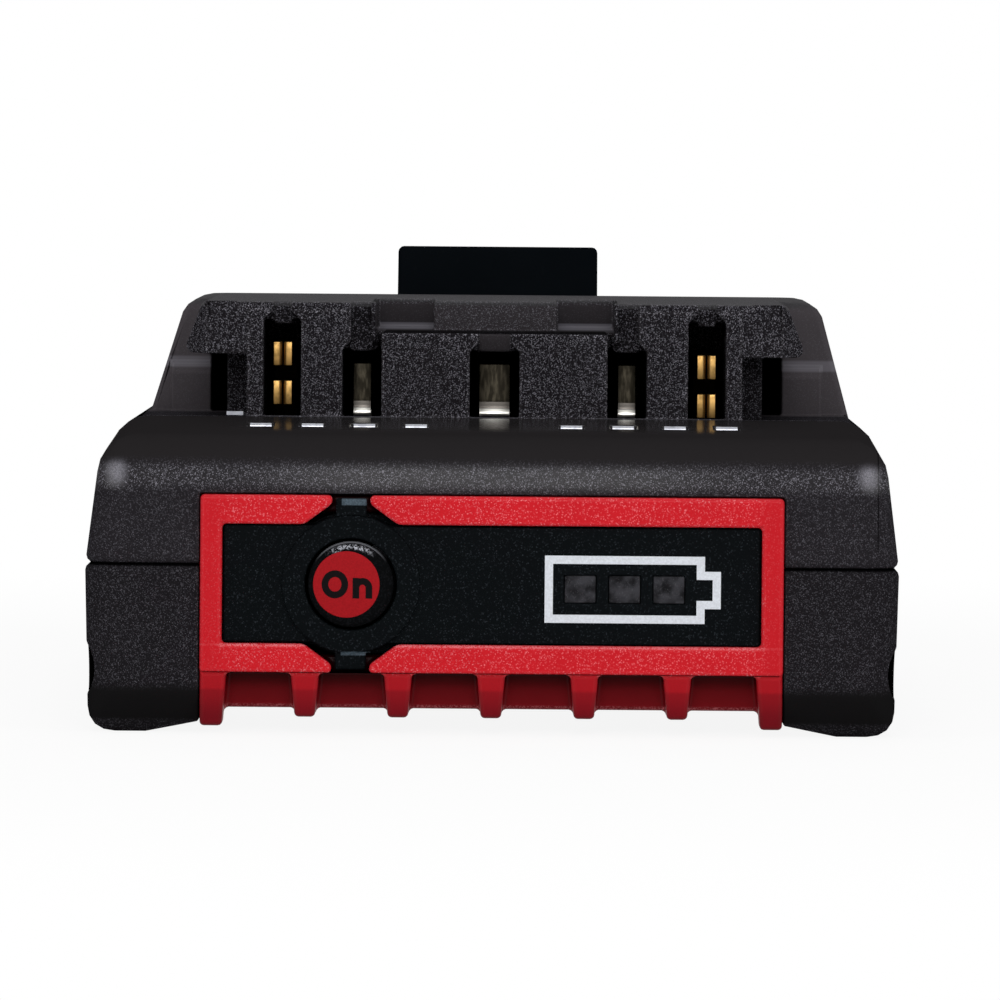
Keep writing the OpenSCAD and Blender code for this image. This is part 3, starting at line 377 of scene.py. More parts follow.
@dataclass(frozen=True)
class HousingPlastic:
    """Black moulding: matt and grained, with a mirror-like deck, a smooth chin in painted shade, corner
    hollows in painted shade, and painted light in places.
    """

    colour: Colour
    speck: Colour
    dull: Colour
    # Painted light: far is the lighter colour of the head's front, the middle wall and the necks.
    far: Colour
    # Painted light: top is the lighter colour of the tower's and the head's tops.
    top: Colour
    polished: Colour
    shadow: Colour = (0.0008, 0.0008, 0.0008)
    grain_mm: float = 0.085
    cloud_mm: float = 9.0
    roughness: float = 0.66
    joint_mm: float = 15.9
    front_mm: float = -50.0
    tower_mm: float = -32.0
    head_mm: float = 24.0
    mirror_half_mm: float = 27.5
    block_half_mm: float = 11.9
    floor_mm: float = 37.0
    hollow_mm: Triple = (39.2, -53.85, 6.0)
    hollow_half_mm: float = 0.75
    hollow_r_mm: float = 2.6
    seam_mm: float = 36.1
    spot_mm: tuple[float, float] = (35.2, 24.6)

    def paint(self, name: str) -> bpy.types.Material:
        """Build the material.

        Args:
            name: The material's name.

        Returns:
            The material.
        """
        paint = Paint(name)
        zones = self.zones(paint)
        grit, fine = paint.grit(self.grain_mm), paint.noise(self.grain_mm * 1.2, 2.0)
        clouds = paint.noise(self.cloud_mm, 2.0).band(0.3, 0.7)
        # Painted shade in the corner hollows, under the rails and on the ledge, and the darker joint and
        # seam.
        dark = self.dark_share(paint)
        bare = paint.mix(dark, self.face(paint, zones, grit, clouds), self.shadow)
        height = (fine * 0.6 + grit * 0.4) * (1 - zones["deck"].most(zones["chin"]))
        grain, rough = paint.bump(height, 0.6, 0.04), paint.bump(height, 1.0, 0.1)
        matt = {
            "Base Color": bare,
            "Roughness": self.roughness,
            "Specular IOR Level": 0.0,
            "Normal": grain,
        }
        satin = {
            "Base Color": bare,
            "Roughness": 0.36,
            "Specular IOR Level": 0.5,
            "Normal": rough,
        }
        glossy = {
            "Base Color": self.polished,
            "Roughness": 0.12 + clouds * 0.05,
            "Specular IOR Level": 0.18,
        }
        sheen_share = zones["rubbed"].most(zones["crown"] * 0.08)
        return paint.layers(matt, (sheen_share, satin), (zones["mirror"], glossy))

    def zones(self, paint: Paint) -> dict[str, Shade]:
        """Shares of the places that look different from the plain grained skin.

        Args:
            paint: The material that is built.

        Returns:
            A share from 0 to 1 for each place, by its name.
        """
        x, y, z = paint.axis("X").size(), paint.axis("Y"), paint.axis("Z")
        before = (self.tower_mm - y).band(0.1, 0.5)
        front = (self.front_mm - y).band(0.0, 3.0)
        beside = z.band(27.2, 27.8) * x.band(26.05, 26.2)
        head = y.band(self.head_mm - 1, self.head_mm) * y.below(28.0, 30.0) * beside
        tower = (y - self.tower_mm).band(-0.8, -0.2) * y.below(26.5, 27.0) * z.band(28.4, 29.0) * (1 - head)
        fillet = z.band(22.5, 23.7) * z.below(24.6, 25.8) * front
        middle = x.below(10.0, 26.0)
        corner = x.band(33.6, 35.6) * x.below(35.6, 37.0) * 0.8
        away = ((x - self.spot_mm[0]) ** 2.0 + ((z - self.spot_mm[1]) * 0.8) ** 2.0) ** 0.5
        flat = z.band(27.5, 27.9) * (y + 49.6).band(0.0, 8.0)
        block = x.below(self.block_half_mm, self.block_half_mm + 0.1) * y.below(-31.7, -31.5) * tower
        between = x.band(6.1, 6.3) * x.below(11.5, 11.7) * z.below(39.3, 39.5)
        on_floor = z.band(self.floor_mm - 0.05, self.floor_mm + 0.05)
        pocket = between * y.band(-24.0, -22.0) * y.below(8.0, 10.0) * on_floor
        tower_top = z.band(39.5, 39.65) * y.band(-31.4, -31.1)
        head_top = z.band(38.3, 39.0) * y.band(26.6, 27.0)
        # Masks of painted light (head, wall, neck, crown, step, edge, sill, spot) and of painted shade
        # (chin).
        return {
            "deck": z.band(25.0, 26.2) * before,
            "chin": z.below(3.9, 5.0) * z.band(0.9, 1.5) * (-48.0 - y).band(0.0, 2.0),
            "low": z.below(self.joint_mm - 0.1, self.joint_mm + 0.1),
            "head": head,
            "tower": tower,
            "wall": y.band(-24.0, -20.0) * z.band(36.6, 37.0) * x.below(14.0, 16.0) * tower,
            "crown": tower_top.most(head_top),
            "step": z.band(32.0, 32.3) * z.below(33.1, 33.4) * head,
            "edge": z.band(36.5, 36.8) * z.below(37.15, 37.3) * block,
            "neck": x.below(1.4, 1.6) * z.band(34.0, 34.4) * z.below(37.0, 37.06) * tower,
            "pocket": pocket,
            "sill": pocket * z.below(37.45, 37.6) * y.band(-22.0, -6.0),
            "fillet": fillet,
            "rubbed": fillet * (0.14 + middle * 0.5).most(corner),
            "spot": away.below(0.1, 1.5) * front,
            "mirror": flat * before * (self.mirror_half_mm - x).band(0.0, 9.0) * 0.6,
        }

    def face(self, paint: Paint, zones: dict[str, Shade], grit: Shade, clouds: Shade) -> Shade:
        """The colour before anything is darkened.

        Args:
            paint: The material that is built.
            zones: Shares of the places that look different.
            grit: Random value of each grain.
            clouds: Slow change of tone.

        Returns:
            Grained colour with painted light on the tops and the head's front, painted highlights and a
            chin in painted shade; even on smooth faces.
        """
        darker = (clouds * 0.3).most(zones["tower"]).most(zones["low"])
        plain = paint.mix(darker, self.colour, dimmed(self.colour, 0.66))
        # Painted light: the head's front, the middle wall and the necks take the far colour, the tops the
        # top colour.
        distant = zones["head"].most(zones["wall"].most(zones["neck"]) * 0.5)
        ground = paint.mix(zones["crown"], paint.mix(distant, plain, self.far), self.top)
        # More specks on the fillet and along the blocks' top edge are painted highlights; on the tower they
        # are grain.
        share = 0.2 + zones["tower"] * 0.42 + zones["fillet"] * 0.4 + zones["edge"] * 0.3
        moulded = zones["pocket"].most(zones["neck"]) * 0.9
        even = (distant * 0.7).most(zones["crown"] * 0.6).most(moulded)
        specks = grit.band(0.6, 0.95) * share * (1 - even)
        # Painted highlights on the head's step and the pockets' sills, and a painted highlight spot by each
        # front corner.
        faint = (zones["step"] * 0.22).most(zones["sill"] * 0.35)
        light = specks.most(faint).most(zones["spot"] * (0.16 + grit * 0.55))
        smooth = paint.mix(zones["deck"], paint.mix(light, ground, self.speck), self.dull)
        # Painted shade on the chin: half the polished colour.
        return paint.mix(zones["chin"], smooth, dimmed(self.polished, 0.5))

    def dark_share(self, paint: Paint) -> Shade:
        """How far each place is darkened: painted shade, and the darker joint and seam.

        A corner hollow lies round a short bar along Y. A point's distance from the bar is the root of the
        summed squares of its distances across, up, and along Y beyond the bar's end.

        Args:
            paint: The material that is built.

        Returns:
            1 in the corner hollows, less in the joint and the seam, under the rails and on the ledge.
        """
        x, y, z = paint.axis("X"), paint.axis("Y"), paint.axis("Z")
        across = x.size() - self.hollow_mm[0]
        along = ((y - self.hollow_mm[1]).size() - self.hollow_half_mm).most(0.0)
        up = z - self.hollow_mm[2]
        reach = (across * across + along * along + up * up) ** 0.5
        # Painted shade in the corner hollows.
        hollow = reach.below(self.hollow_r_mm + 0.02, self.hollow_r_mm + 0.14)
        upper_front = (self.front_mm - y).band(0.0, 1.0) * z.band(17.0, 18.0)
        seam = (x - self.seam_mm).size().below(0.03, 0.08) * upper_front
        joint = (z - self.joint_mm).size().below(0.1, 0.25) * 0.9
        web = y.band(-27.0, -26.4) * y.below(26.4, 26.9) * (26.6 - x.size()).band(0.0, 0.3)
        # Painted shade under the rails.
        below = web * z.below(34.6, 35.0) * z.band(27.0, 27.4)
        on_floor = z.band(self.floor_mm - 0.05, self.floor_mm + 0.05) * z.below(37.12, 37.2)
        floor = on_floor * x.size().below(self.block_half_mm - 0.05, self.block_half_mm + 0.05)
        # Painted shade on the ledge.
        ledge = floor * y.band(-31.6, -31.4) * y.below(-24.0, -6.0)
        return hollow.most(seam * 0.7).most(joint).most(below * 0.55).most(ledge * 0.85)


@dataclass(frozen=True)
class BezelPlastic:
    """Red satin moulding with painted shade down its comb, in its notches and on the panel behind the
    teeth, and painted highlights along a bar's edge and that panel's bottom rim.
    """

    colour: Colour
    speck: Colour
    # Painted shade: under darkens the teeth towards the bottom and the notches.
    under: Colour
    # Painted shade: behind is the colour of the panel behind the teeth.
    behind: Colour
    roughness: float = 0.4
    specular: float = 0.06
    notch_mm: float = -13.2

    def paint(self, name: str) -> bpy.types.Material:
        """Build the material.

        Args:
            name: The material's name.

        Returns:
            The material.
        """
        paint = Paint(name)
        x, y, z = paint.axis("X").size(), paint.axis("Y"), paint.axis("Z")
        fine = paint.noise(0.15, 2.0)
        clouds = paint.noise(5.0, 2.0)
        bars = z.band(5.5, 5.9) * (1 - x.band(24.0, 26.4) * 0.8)
        # Painted highlight along the lower bar's upper edge.
        crest = z.band(8.28, 8.36) * z.below(8.52, 8.6) * 0.5
        grit = paint.grit(0.1)
        specks = (grit.band(0.66, 0.98) * 0.65).most(crest * grit.band(0.2, 0.6)) * bars
        # Painted light bounced from the floor along the bottom rim of the panel behind the teeth.
        rim = z.below(2.5, 2.8) * grit.band(0.4, 0.8) * 0.3
        # Painted shade down the comb: the teeth darken towards the bottom.
        low = z.below(5.4, 5.8) * 0.38 + z.below(4.05, 4.45) * 0.3 + z.below(1.4, 4.3) * 0.25
        hidden = y.band(-55.2, -54.2) * z.below(5.6, 6.0)
        plain = paint.mix(clouds * bars, dimmed(self.colour, 0.84), self.colour)
        face = paint.mix(specks, plain, self.speck)
        # Painted shade on the panel behind the teeth, darkest at its top under the bar.
        dark = paint.mix(z.band(4.0, 5.6), self.behind, dimmed(self.behind, 0.3))
        behind = paint.mix(rim, dark, self.speck)
        shut = paint.mix(low, face, self.under)
        # Painted shade deep in the notches.
        aside = (paint.axis("X") - self.notch_mm).size()
        notch = y.band(-57.4, -56.7) * z.band(5.7, 5.9) * aside.below(5.0, 5.4)
        cut = paint.mix(notch, shut, dimmed(self.under, 0.1))
        return paint.surface({
            "Base Color": paint.mix(hidden, cut, behind),
            "Roughness": self.roughness + (fine - 0.5) * 0.2,
            "Specular IOR Level": self.specular,
            "Normal": paint.bump(fine, 0.25, 0.03),
        })


@dataclass(frozen=True)
class PanelPlastic:
    """Black fine-grained panel with a painted highlight along a band on each of its two tabs."""

    colour: Colour
    speck: Colour
    sheen: Colour
    tab_mm: float = -12.7
    tab_half_mm: float = 1.4
    bands_mm: tuple[tuple[float, float], ...] = ((21.6, 22.15), (7.55, 7.8))

    def paint(self, name: str) -> bpy.types.Material:
        """Build the material.

        Args:
            name: The material's name.

        Returns:
            The material.
        """
        paint = Paint(name)
        x, z, grit = paint.axis("X"), paint.axis("Z"), paint.grit(0.11)
        within = (x - self.tab_mm).size().below(self.tab_half_mm - 0.1, self.tab_half_mm + 0.05)
        # Painted highlight along a band on each tab.
        lit = sum(z.band(low - 0.1, low + 0.05) * z.below(high - 0.05, high + 0.1)
                  for low, high in self.bands_mm)
        ground = paint.mix(grit.band(0.7, 0.98) * 0.35, self.colour, self.speck)
        return paint.surface({
            "Base Color": paint.mix(lit * within * (0.4 + grit * 0.6), ground, self.sheen),
            "Roughness": 0.45 + grit * 0.15,
            "Specular IOR Level": 0.02,
            "Normal": paint.bump(grit, 0.3, 0.04),
        })


@dataclass(frozen=True)
class CapPlastic:
    """Black grained cap with a painted highlight along the upper part of its rim and a faint one round its
    edge.
    """

    colour: Colour
    speck: Colour
    # Painted highlight: bright is the colour of the lit rim.
    bright: Colour
    middle_mm: tuple[float, float] = (-13.2, 14.17)
    inner_mm: float = 3.2

    def paint(self, name: str) -> bpy.types.Material:
        """Build the material.

        Args:
            name: The material's name.

        Returns:
            The material.
        """
        paint = Paint(name)
        across, up = paint.axis("X") - self.middle_mm[0], paint.axis("Z") - self.middle_mm[1]
        reach = (across * across + up * up) ** 0.5
        grit = paint.grit(0.13)
        # Painted highlight: a crescent on the upper rim and a faint line round the edge.
        crescent = reach.band(self.inner_mm, self.inner_mm + 0.15) * reach.below(3.6, 3.85)
        edge = reach.band(3.84, 3.9) * (up / reach).band(0.5, 0.9) * 0.3
        sheen_share = (crescent * (up / reach).band(0.74, 0.99) * grit.band(0.4, 0.85)).most(edge)
        ground = paint.mix(grit.band(0.55, 0.8) * 0.5, self.colour, self.speck)
        return paint.surface({
            "Base Color": paint.mix(sheen_share, ground, self.bright),
            "Roughness": 0.6 + grit * 0.2,
            "Specular IOR Level": 0.01,
            "Normal": paint.bump(grit, 0.5, 0.03),
        })


@dataclass(frozen=True)
class SlotBrass:
    """Rolled brass with tarnish stains, in its own colour at the tips and in painted shade to near black
    deep in the slot.
    """

    colour: Colour
    tarnish: Colour
    # Painted shade: deep is the near-black colour deep in the slot.
    deep: Colour
    roughness: float = 0.32

    def paint(self, name: str) -> bpy.types.Material:
        """Build the material.

        Args:
            name: The material's name.

        Returns:
            The material.
        """
        paint = Paint(name)
        lines = paint.noise(0.08, 3.0, (1.0, 1.0, 0.06))
        stain = paint.noise(0.7, 4.0).band(0.42, 0.72) * 0.55
        face = paint.mix(stain, self.colour, self.tarnish)
        return paint.surface({
            # Painted shade to near black deep in the slot.
            "Base Color": paint.mix(paint.axis("Y").band(-28.2, -26.4), face, self.deep),
            "Metallic": 1.0,
            "Roughness": self.roughness + (lines - 0.5) * 0.2 + stain * 0.2,
            "Normal": paint.bump(lines, 0.2, 0.01),
        })


@dataclass(frozen=True)
class SpringBronze:
    """Plated contact strip with a painted highlight along its lowest lip, darker above it, and darker still
    and streaked above its bend.
    """

    # Painted highlight: bright is the colour of the lowest lip.
    bright: Colour
    middle: Colour
    tarnish: Colour
    lip_mm: float = 29.75
    bend_mm: float = 30.45

    def paint(self, name: str) -> bpy.types.Material:
        """Build the material.

        Args:
            name: The material's name.

        Returns:
            The material.
        """
        paint = Paint(name)
        z = paint.axis("Z")
        streaks = paint.noise(0.3, 3.0, (1.0, 1.0, 0.12))
        stain = paint.noise(0.5, 3.0)
        dull = paint.mix(streaks.band(0.4, 0.7), dimmed(self.tarnish, 0.35), self.tarnish)
        above = paint.mix(z.band(self.bend_mm - 0.05, self.bend_mm + 0.05), self.middle, dull)
        return paint.surface({
            # Painted highlight along the lowest lip.
            "Base Color": paint.mix(z.band(self.lip_mm - 0.06, self.lip_mm + 0.12), self.bright, above),
            "Metallic": 1.0,
            "Roughness": 0.22 + stain * 0.25,
            "Normal": paint.bump(streaks, 0.25, 0.02),
        })


@dataclass(frozen=True)
class SmoothPlastic:
    """Moulded plastic with a polished or satin skin, faint flow clouds and hair scratches."""

    colour: Colour
    roughness: float = 0.35
    specular: float = 0.4

    def paint(self, name: str) -> bpy.types.Material:
        """Build the material.

        Args:
            name: The material's name.

        Returns:
            The material.
        """
        paint = Paint(name)
        clouds = paint.noise(6.0, 3.0)
        hairs = paint.noise(0.5, 2.0, (1.0, 1.0, 0.08)).band(0.62, 0.8)
        light = tuple(min(1.0, c * 1.3 + 0.002) for c in self.colour)
        return paint.surface({
            "Base Color": paint.mix(clouds * 0.5 + hairs * 0.3, self.colour, light),
            "Roughness": self.roughness + (clouds - 0.5) * 0.12 + hairs * 0.08,
            "Specular IOR Level": self.specular,
            "Normal": paint.bump(clouds, 0.15, 0.02),
        })


@dataclass(frozen=True)
class BareMetal:
    """Rolled sheet or drawn wire with brush lines and tarnish."""

    colour: Colour
    tarnish: Colour
    tarnish_share: float = 0.5
    roughness: float = 0.28
    lines: Triple = (1.0, 1.0, 0.06)

    def paint(self, name: str) -> bpy.types.Material:
        """Build the material.

        Args:
            name: The material's name.

        Returns:
            The material.
        """
        paint = Paint(name)
        lines = paint.noise(0.08, 3.0, self.lines)
        stain = paint.noise(0.9, 4.0).band(0.42, 0.72) * self.tarnish_share
        return paint.surface({
            "Base Color": paint.mix(stain, self.colour, self.tarnish),
            "Metallic": 1.0,
            "Roughness": self.roughness + (lines - 0.5) * 0.2 + stain * 0.2,
            "Normal": paint.bump(lines, 0.2, 0.01),
        })


@dataclass(frozen=True)
class BoardLacquer:
    """Solder lacquer over copper tracks."""

    colour: Colour
    track: Colour
    pitch_mm: float = 1.3

    def paint(self, name: str) -> bpy.types.Material:
        """Build the material.

        Args:
            name: The material's name.

        Returns:
            The material.
        """
        paint = Paint(name)
        sockets = {"Vector": paint.place(), "Scale": 1 / (self.pitch_mm * MM), "Randomness": 0.7}
        settings = {"feature": "F1", "distance": "CHEBYCHEV"}
        cells = paint.node("ShaderNodeTexVoronoi", settings, sockets, "Distance")
        tracks = cells.band(0.42, 0.46)
        grain = paint.noise(0.2, 3.0)
        return paint.surface({
            "Base Color": paint.mix(tracks, self.colour, self.track),
            "Roughness": 0.28 + grain * 0.15,
            "Normal": paint.bump(tracks, 0.4, 0.03),
        })


@dataclass(frozen=True)
class Fibre:
    """Paper, foam or woven tape: a matt skin of short fibres or pores."""

    colour: Colour
    shade: Colour
    size_mm: float = 0.25
    depth_mm: float = 0.06

    def paint(self, name: str) -> bpy.types.Material:
        """Build the material.

        Args:
            name: The material's name.

        Returns:
            The material.
        """
        paint = Paint(name)
        threads = paint.noise(self.size_mm, 4.0, (1.0, 0.35, 1.0))
        pores = paint.pebbles(self.size_mm * 2)
        height = threads * 0.6 + pores * 0.4
        return paint.surface({
            "Base Color": paint.mix(height.band(0.25, 0.7), self.shade, self.colour),
            "Roughness": 0.75 + threads * 0.2,
            "Specular IOR Level": 0.2,
            "Normal": paint.bump(height, 0.6, self.depth_mm),
        })


@dataclass(frozen=True)
class Ink:
    """Screen-printed ink with a slightly uneven film."""

    colour: Colour
    roughness: float = 0.5
    specular: float = 0.25

    def paint(self, name: str) -> bpy.types.Material:
        """Build the material.

        Args:
            name: The material's name.

        Returns:
            The material.
        """
        paint = Paint(name)
        film = paint.noise(0.18, 3.0)
        return paint.surface({
            "Base Color": paint.mix(film.band(0.3, 0.7), dimmed(self.colour, 0.86), self.colour),
            "Roughness": self.roughness + (film - 0.5) * 0.2,
            "Specular IOR Level": self.specular,
            "Normal": paint.bump(film, 0.2, 0.02),
        })


class Finish(Enum):
    """Every finish on the pack, by the record's slot."""

    housing_black = HousingPlastic(
        colour=display(35, 33, 36), speck=display(152, 150, 160), dull=display(37, 35, 36),
        far=display(69, 65, 68), top=display(57, 56, 58), polished=display(34, 33, 34))
    bezel_red = BezelPlastic(
        colour=display(203, 28, 38), speck=display(236, 126, 134), under=display(100, 12, 22),
        behind=display(116, 9, 19))
    panel_black = PanelPlastic(
        colour=display(7, 10, 12), speck=display(60, 66, 72), sheen=display(84, 98, 108))
    window_smoke = GrainedPlastic(
        colour=display(56, 56, 60), speck=display(84, 84, 88), grain_mm=0.15, bump=0.2,
        speck_share=0.4, roughness=0.5, specular=0.03, cloud_mm=1.3, cloud_shade=0.16)
    button_black = CapPlastic(
        colour=display(8, 9, 10), speck=display(24, 25, 28), bright=display(170, 172, 180))
    disc_red = Ink(display(158, 26, 32), roughness=0.6, specular=0.02)
    plunger_white = SmoothPlastic(display(226, 226, 220), roughness=0.4)
    chip_black = GrainedPlastic(
        colour=display(30, 30, 32), speck=display(60, 60, 62), grain_mm=0.15, bump=0.2,
        speck_share=0.3, roughness=0.5)
    board_green = BoardLacquer(colour=display(18, 92, 52), track=display(40, 130, 76))
    cable_grey = SmoothPlastic(display(176, 178, 180), roughness=0.5)
    carrier_black = SmoothPlastic(display(20, 20, 22), roughness=0.45, specular=0.15)
    contact_brass = SlotBrass(
        colour=display(180, 142, 84), tarnish=display(112, 88, 48), deep=display(10, 7, 4),
        roughness=0.42)
    contact_silver = SpringBronze(
        bright=display(238, 236, 228), middle=display(84, 80, 76), tarnish=display(36, 33, 27))
    screw_steel = BareMetal(
        colour=display(150, 152, 156), tarnish=display(96, 96, 100), tarnish_share=0.4,
        roughness=0.3, lines=UNSTRETCHED)
    paper_grey = Fibre(colour=display(206, 204, 196), shade=display(170, 168, 160))
    foam_black = Fibre(
        colour=display(48, 48, 50), shade=display(22, 22, 24), size_mm=0.5, depth_mm=0.2)
    cell_sleeve = SmoothPlastic(display(40, 88, 160), roughness=0.3, specular=0.4)
    strip_nickel = BareMetal(
        colour=display(206, 202, 192), tarnish=display(150, 140, 124), tarnish_share=0.35,
        roughness=0.26)
    latch_black = SmoothPlastic(display(7, 10, 13), roughness=0.5, specular=0.0)
    spring_steel = BareMetal(
        colour=display(176, 178, 182), tarnish=display(110, 108, 104), tarnish_share=0.4,
        roughness=0.25, lines=UNSTRETCHED)


class Extra(Enum):
    """Finishes of details that have no slot of their own."""

    # Rounded edges of the mouldings: lighter colours for wear and a painted highlight.
    edge_wear_and_sheen_black = HousingPlastic(
        colour=display(43, 41, 44), speck=display(172, 170, 180), dull=display(40, 38, 39),
        far=display(70, 66, 69), top=display(64, 63, 65), polished=display(34, 33, 34))
    # Rounded edges of the bezel: lighter colours for wear and a painted highlight.
    edge_wear_and_sheen_red = BezelPlastic(
        colour=display(206, 34, 44), speck=display(240, 150, 156), under=display(96, 11, 20),
        behind=display(108, 9, 18), roughness=0.35, specular=0.08)
    # The crest line's colour: a painted highlight.
    crest_highlight = GrainedPlastic(
        colour=display(62, 61, 66), speck=display(150, 148, 156), grain_mm=0.2, bump=0.4,
        speck_share=0.8, roughness=0.5, specular=0.05)
    print_white = Ink(display(214, 219, 226))
    print_black = Ink(display(20, 17, 18), roughness=0.6, specular=0.02)
    # The vent strips' metal: bright, standing for painted highlights.
    vent_highlight = BareMetal(
        colour=display(196, 198, 206), tarnish=display(110, 110, 120), tarnish_share=0.5,
        roughness=0.3, lines=UNSTRETCHED)


AnyFinish = Union[Finish, Extra]


class Palette:
    """Materials, each painted once."""

    def __init__(self) -> None:
        """Start with nothing painted."""
        self.painted: dict[str, bpy.types.Material] = {}

    def get(self, finish: AnyFinish) -> bpy.types.Material:
        """The material of a finish, painted when it is first asked for.

        Args:
            finish: The finish.

        Returns:
            Its material.
        """
        if finish.name not in self.painted:
            self.painted[finish.name] = finish.value.paint(finish.name)
        return self.painted[finish.name]


PALETTE = Palette()


def add_piece(name: str, mesh: bpy.types.Mesh, body: Body, *finishes: AnyFinish) -> bpy.types.Object:
    """Put a mesh into the scene as a piece of the object.

    Args:
        name: The piece's name.
        mesh: Its mesh, in place.
        body: The body that it rides on.
        finishes: Its finishes; the first one is a slot of the record where it has one.

    Returns:
        The new object.
    """
    piece = bpy.data.objects.new(name, mesh)
    bpy.context.scene.collection.objects.link(piece)
    mesh.materials.clear()
    for finish in finishes:
        mesh.materials.append(PALETTE.get(finish))
    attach(piece, body.value)
    LOG.info("piece %s: %d faces on %s", name, len(mesh.polygons), body.value)
    return piece


def flatten_faces(piece: bpy.types.Object) -> None:
    """Let a piece's broad faces rule the shading beside its rounded edges."""
    piece.modifiers.new("flat_faces", "WEIGHTED_NORMAL").keep_sharp = True


def closed_mesh(name: str, points: np.ndarray, faces: list[list[int]], smooth: bool) -> bpy.types.Mesh:
    """Make a mesh, merge its doubles, point its faces outwards and set the shading.

    Args:
        name: The mesh's name.
        points: Points in metres; the last axis holds X, Y and Z.
        faces: Numbers of each face's points.
        smooth: Whether faces are shaded smoothly.

    Returns:
        The mesh.
    """
    mesh = bpy.data.meshes.new(name)
    mesh.from_pydata(points.reshape(-1, 3), [], faces)
    work = bmesh.new()
    work.from_mesh(mesh)
    bmesh.ops.remove_doubles(work, verts=work.verts, dist=MERGE_M)
    bmesh.ops.recalc_face_normals(work, faces=work.faces)
    work.to_mesh(mesh)
    work.free()
    mesh.polygons.foreach_set("use_smooth", np.full(len(mesh.polygons), smooth))
    mesh.update()
    return mesh


def grid_mesh(name: str, points: np.ndarray, smooth: bool = True) -> bpy.types.Mesh:
    """Make a tube from a grid of points: four neighbours make one face, and each end has a lid.

    Args:
        name: The mesh's name.
        points: Rows by columns by 3, in metres; the last column joins the first one.
        smooth: Whether faces are shaded smoothly.

    Returns:
        The closed mesh.
    """
    rows, columns = points.shape[:2]
    index = np.arange(rows * columns).reshape(rows, columns)
    along = np.roll(index, -1, axis=1)
    quads = np.stack([index[:-1], along[:-1], along[1:], index[1:]], axis=-1).reshape(-1, 4)
    lids = [index[0, ::-1].tolist(), index[-1].tolist()]
    return closed_mesh(name, points, quads.tolist() + lids, smooth)


def join_meshes(name: str, meshes: Sequence[bpy.types.Mesh]) -> bpy.types.Mesh:
    """Put several meshes into one.

    Args:
        name: The new mesh's name.
        meshes: The meshes; they are removed.

    Returns:
        The joined mesh.
    """
    work = bmesh.new()
    for mesh in meshes:
        work.from_mesh(mesh)
        bpy.data.meshes.remove(mesh)
    joined = bpy.data.meshes.new(name)
    work.to_mesh(joined)
    work.free()
    return joined


def revolve_y(name: str, profile: np.ndarray, middle: tuple[float, float], steps: int) -> bpy.types.Mesh:
    """Turn a profile round an axis along Y: x = r cos a + x0, z = r sin a + z0.

    Args:
        name: The mesh's name.
        profile: Radius and Y of each point, in metres, starting and ending at radius 0.
        middle: X and Z of the axis.
        steps: Points round a turn.

    Returns:
        The closed mesh.
    """
    angle = np.linspace(0, 2 * np.pi, steps, endpoint=False)
    radius, depth = profile[:, :1], profile[:, 1:]
    x = middle[0] + radius * np.cos(angle)
    z = middle[1] + radius * np.sin(angle)
    return grid_mesh(name, np.stack([x, np.broadcast_to(depth, x.shape), z], axis=-1))


def arc(middle: Sequence[float], radii: Sequence[float], start: float, stop: float,
        count: int) -> np.ndarray:
    """Points of an elliptic arc: middle + (a cos t, b sin t).

    Args:
        middle: Its middle.
        radii: Both radii.
        start: First angle in degrees.
        stop: Last angle in degrees.
        count: Number of points.

    Returns:
        One row per point.
    """
    turn = np.radians(np.linspace(start, stop, count))
    return np.asarray(middle) + np.stack([radii[0] * np.cos(turn), radii[1] * np.sin(turn)], axis=-1)


def smooth_path(points: Sequence[Sequence[float]], count: int, window: int) -> np.ndarray:
    """Space points evenly along a bent line and round its bends: each point is its neighbours' mean.

    Args:
        points: Corners of the line.
        count: Number of points on the new line.
        window: Neighbours on either side that count.

    Returns:
        The rounded line, with the same ends.
    """
    corners = np.asarray(points, float)
    reach = np.concatenate([[0], np.cumsum(np.linalg.norm(np.diff(corners, axis=0), axis=1))])
    at = np.linspace(0, reach[-1], count)
    even = np.stack([np.interp(at, reach, column) for column in corners.T])
    longer = np.pad(even, ((0, 0), (window, window)), mode="reflect", reflect_type="odd")
    share = np.full(2 * window + 1, 1 / (2 * window + 1))
    return np.stack([np.convolve(row, share, "valid") for row in longer], axis=-1)


def ribbon(name: str, path: np.ndarray, width: float, front: float, back: float, closed: bool,
           across: int = 1) -> bpy.types.Mesh:
    """Carry a rectangle along a flat path; corners are mitred at half the turn.

    Args:
        name: The mesh's name.
        path: The middle line's points in the other two axes, in metres.
        width: Width of the line.
        front: Where the rectangle starts on the axis that it goes across.
        back: Where it ends there.
        closed: Whether the path ends where it starts.
        across: Number of that axis; 1 is Y, so that the path lies in X and Z.

    Returns:
        The closed mesh.
    """
    ahead = np.roll(path, -1, axis=0) - path
    behind = path - np.roll(path, 1, axis=0)
    if not closed:
        ahead[-1] = behind[-1]
        behind[0] = ahead[0]
    ahead /= np.linalg.norm(ahead, axis=1, keepdims=True)
    behind /= np.linalg.norm(behind, axis=1, keepdims=True)
    between = ahead + behind
    between /= np.linalg.norm(between, axis=1, keepdims=True)
    reach = 1 / np.maximum(0.4, np.sum(between * ahead, axis=1, keepdims=True))
    side = np.stack([-between[:, 1], between[:, 0]], axis=-1) * reach * width / 2
    left, right = path + side, path - side
    section = [(left, front), (left, back), (right, back), (right, front)]
    points = np.stack([np.insert(edge, across, depth, axis=1) for edge, depth in section], axis=1)
    if not closed:
        return grid_mesh(name, points, False)
    return loop_mesh(name, points)


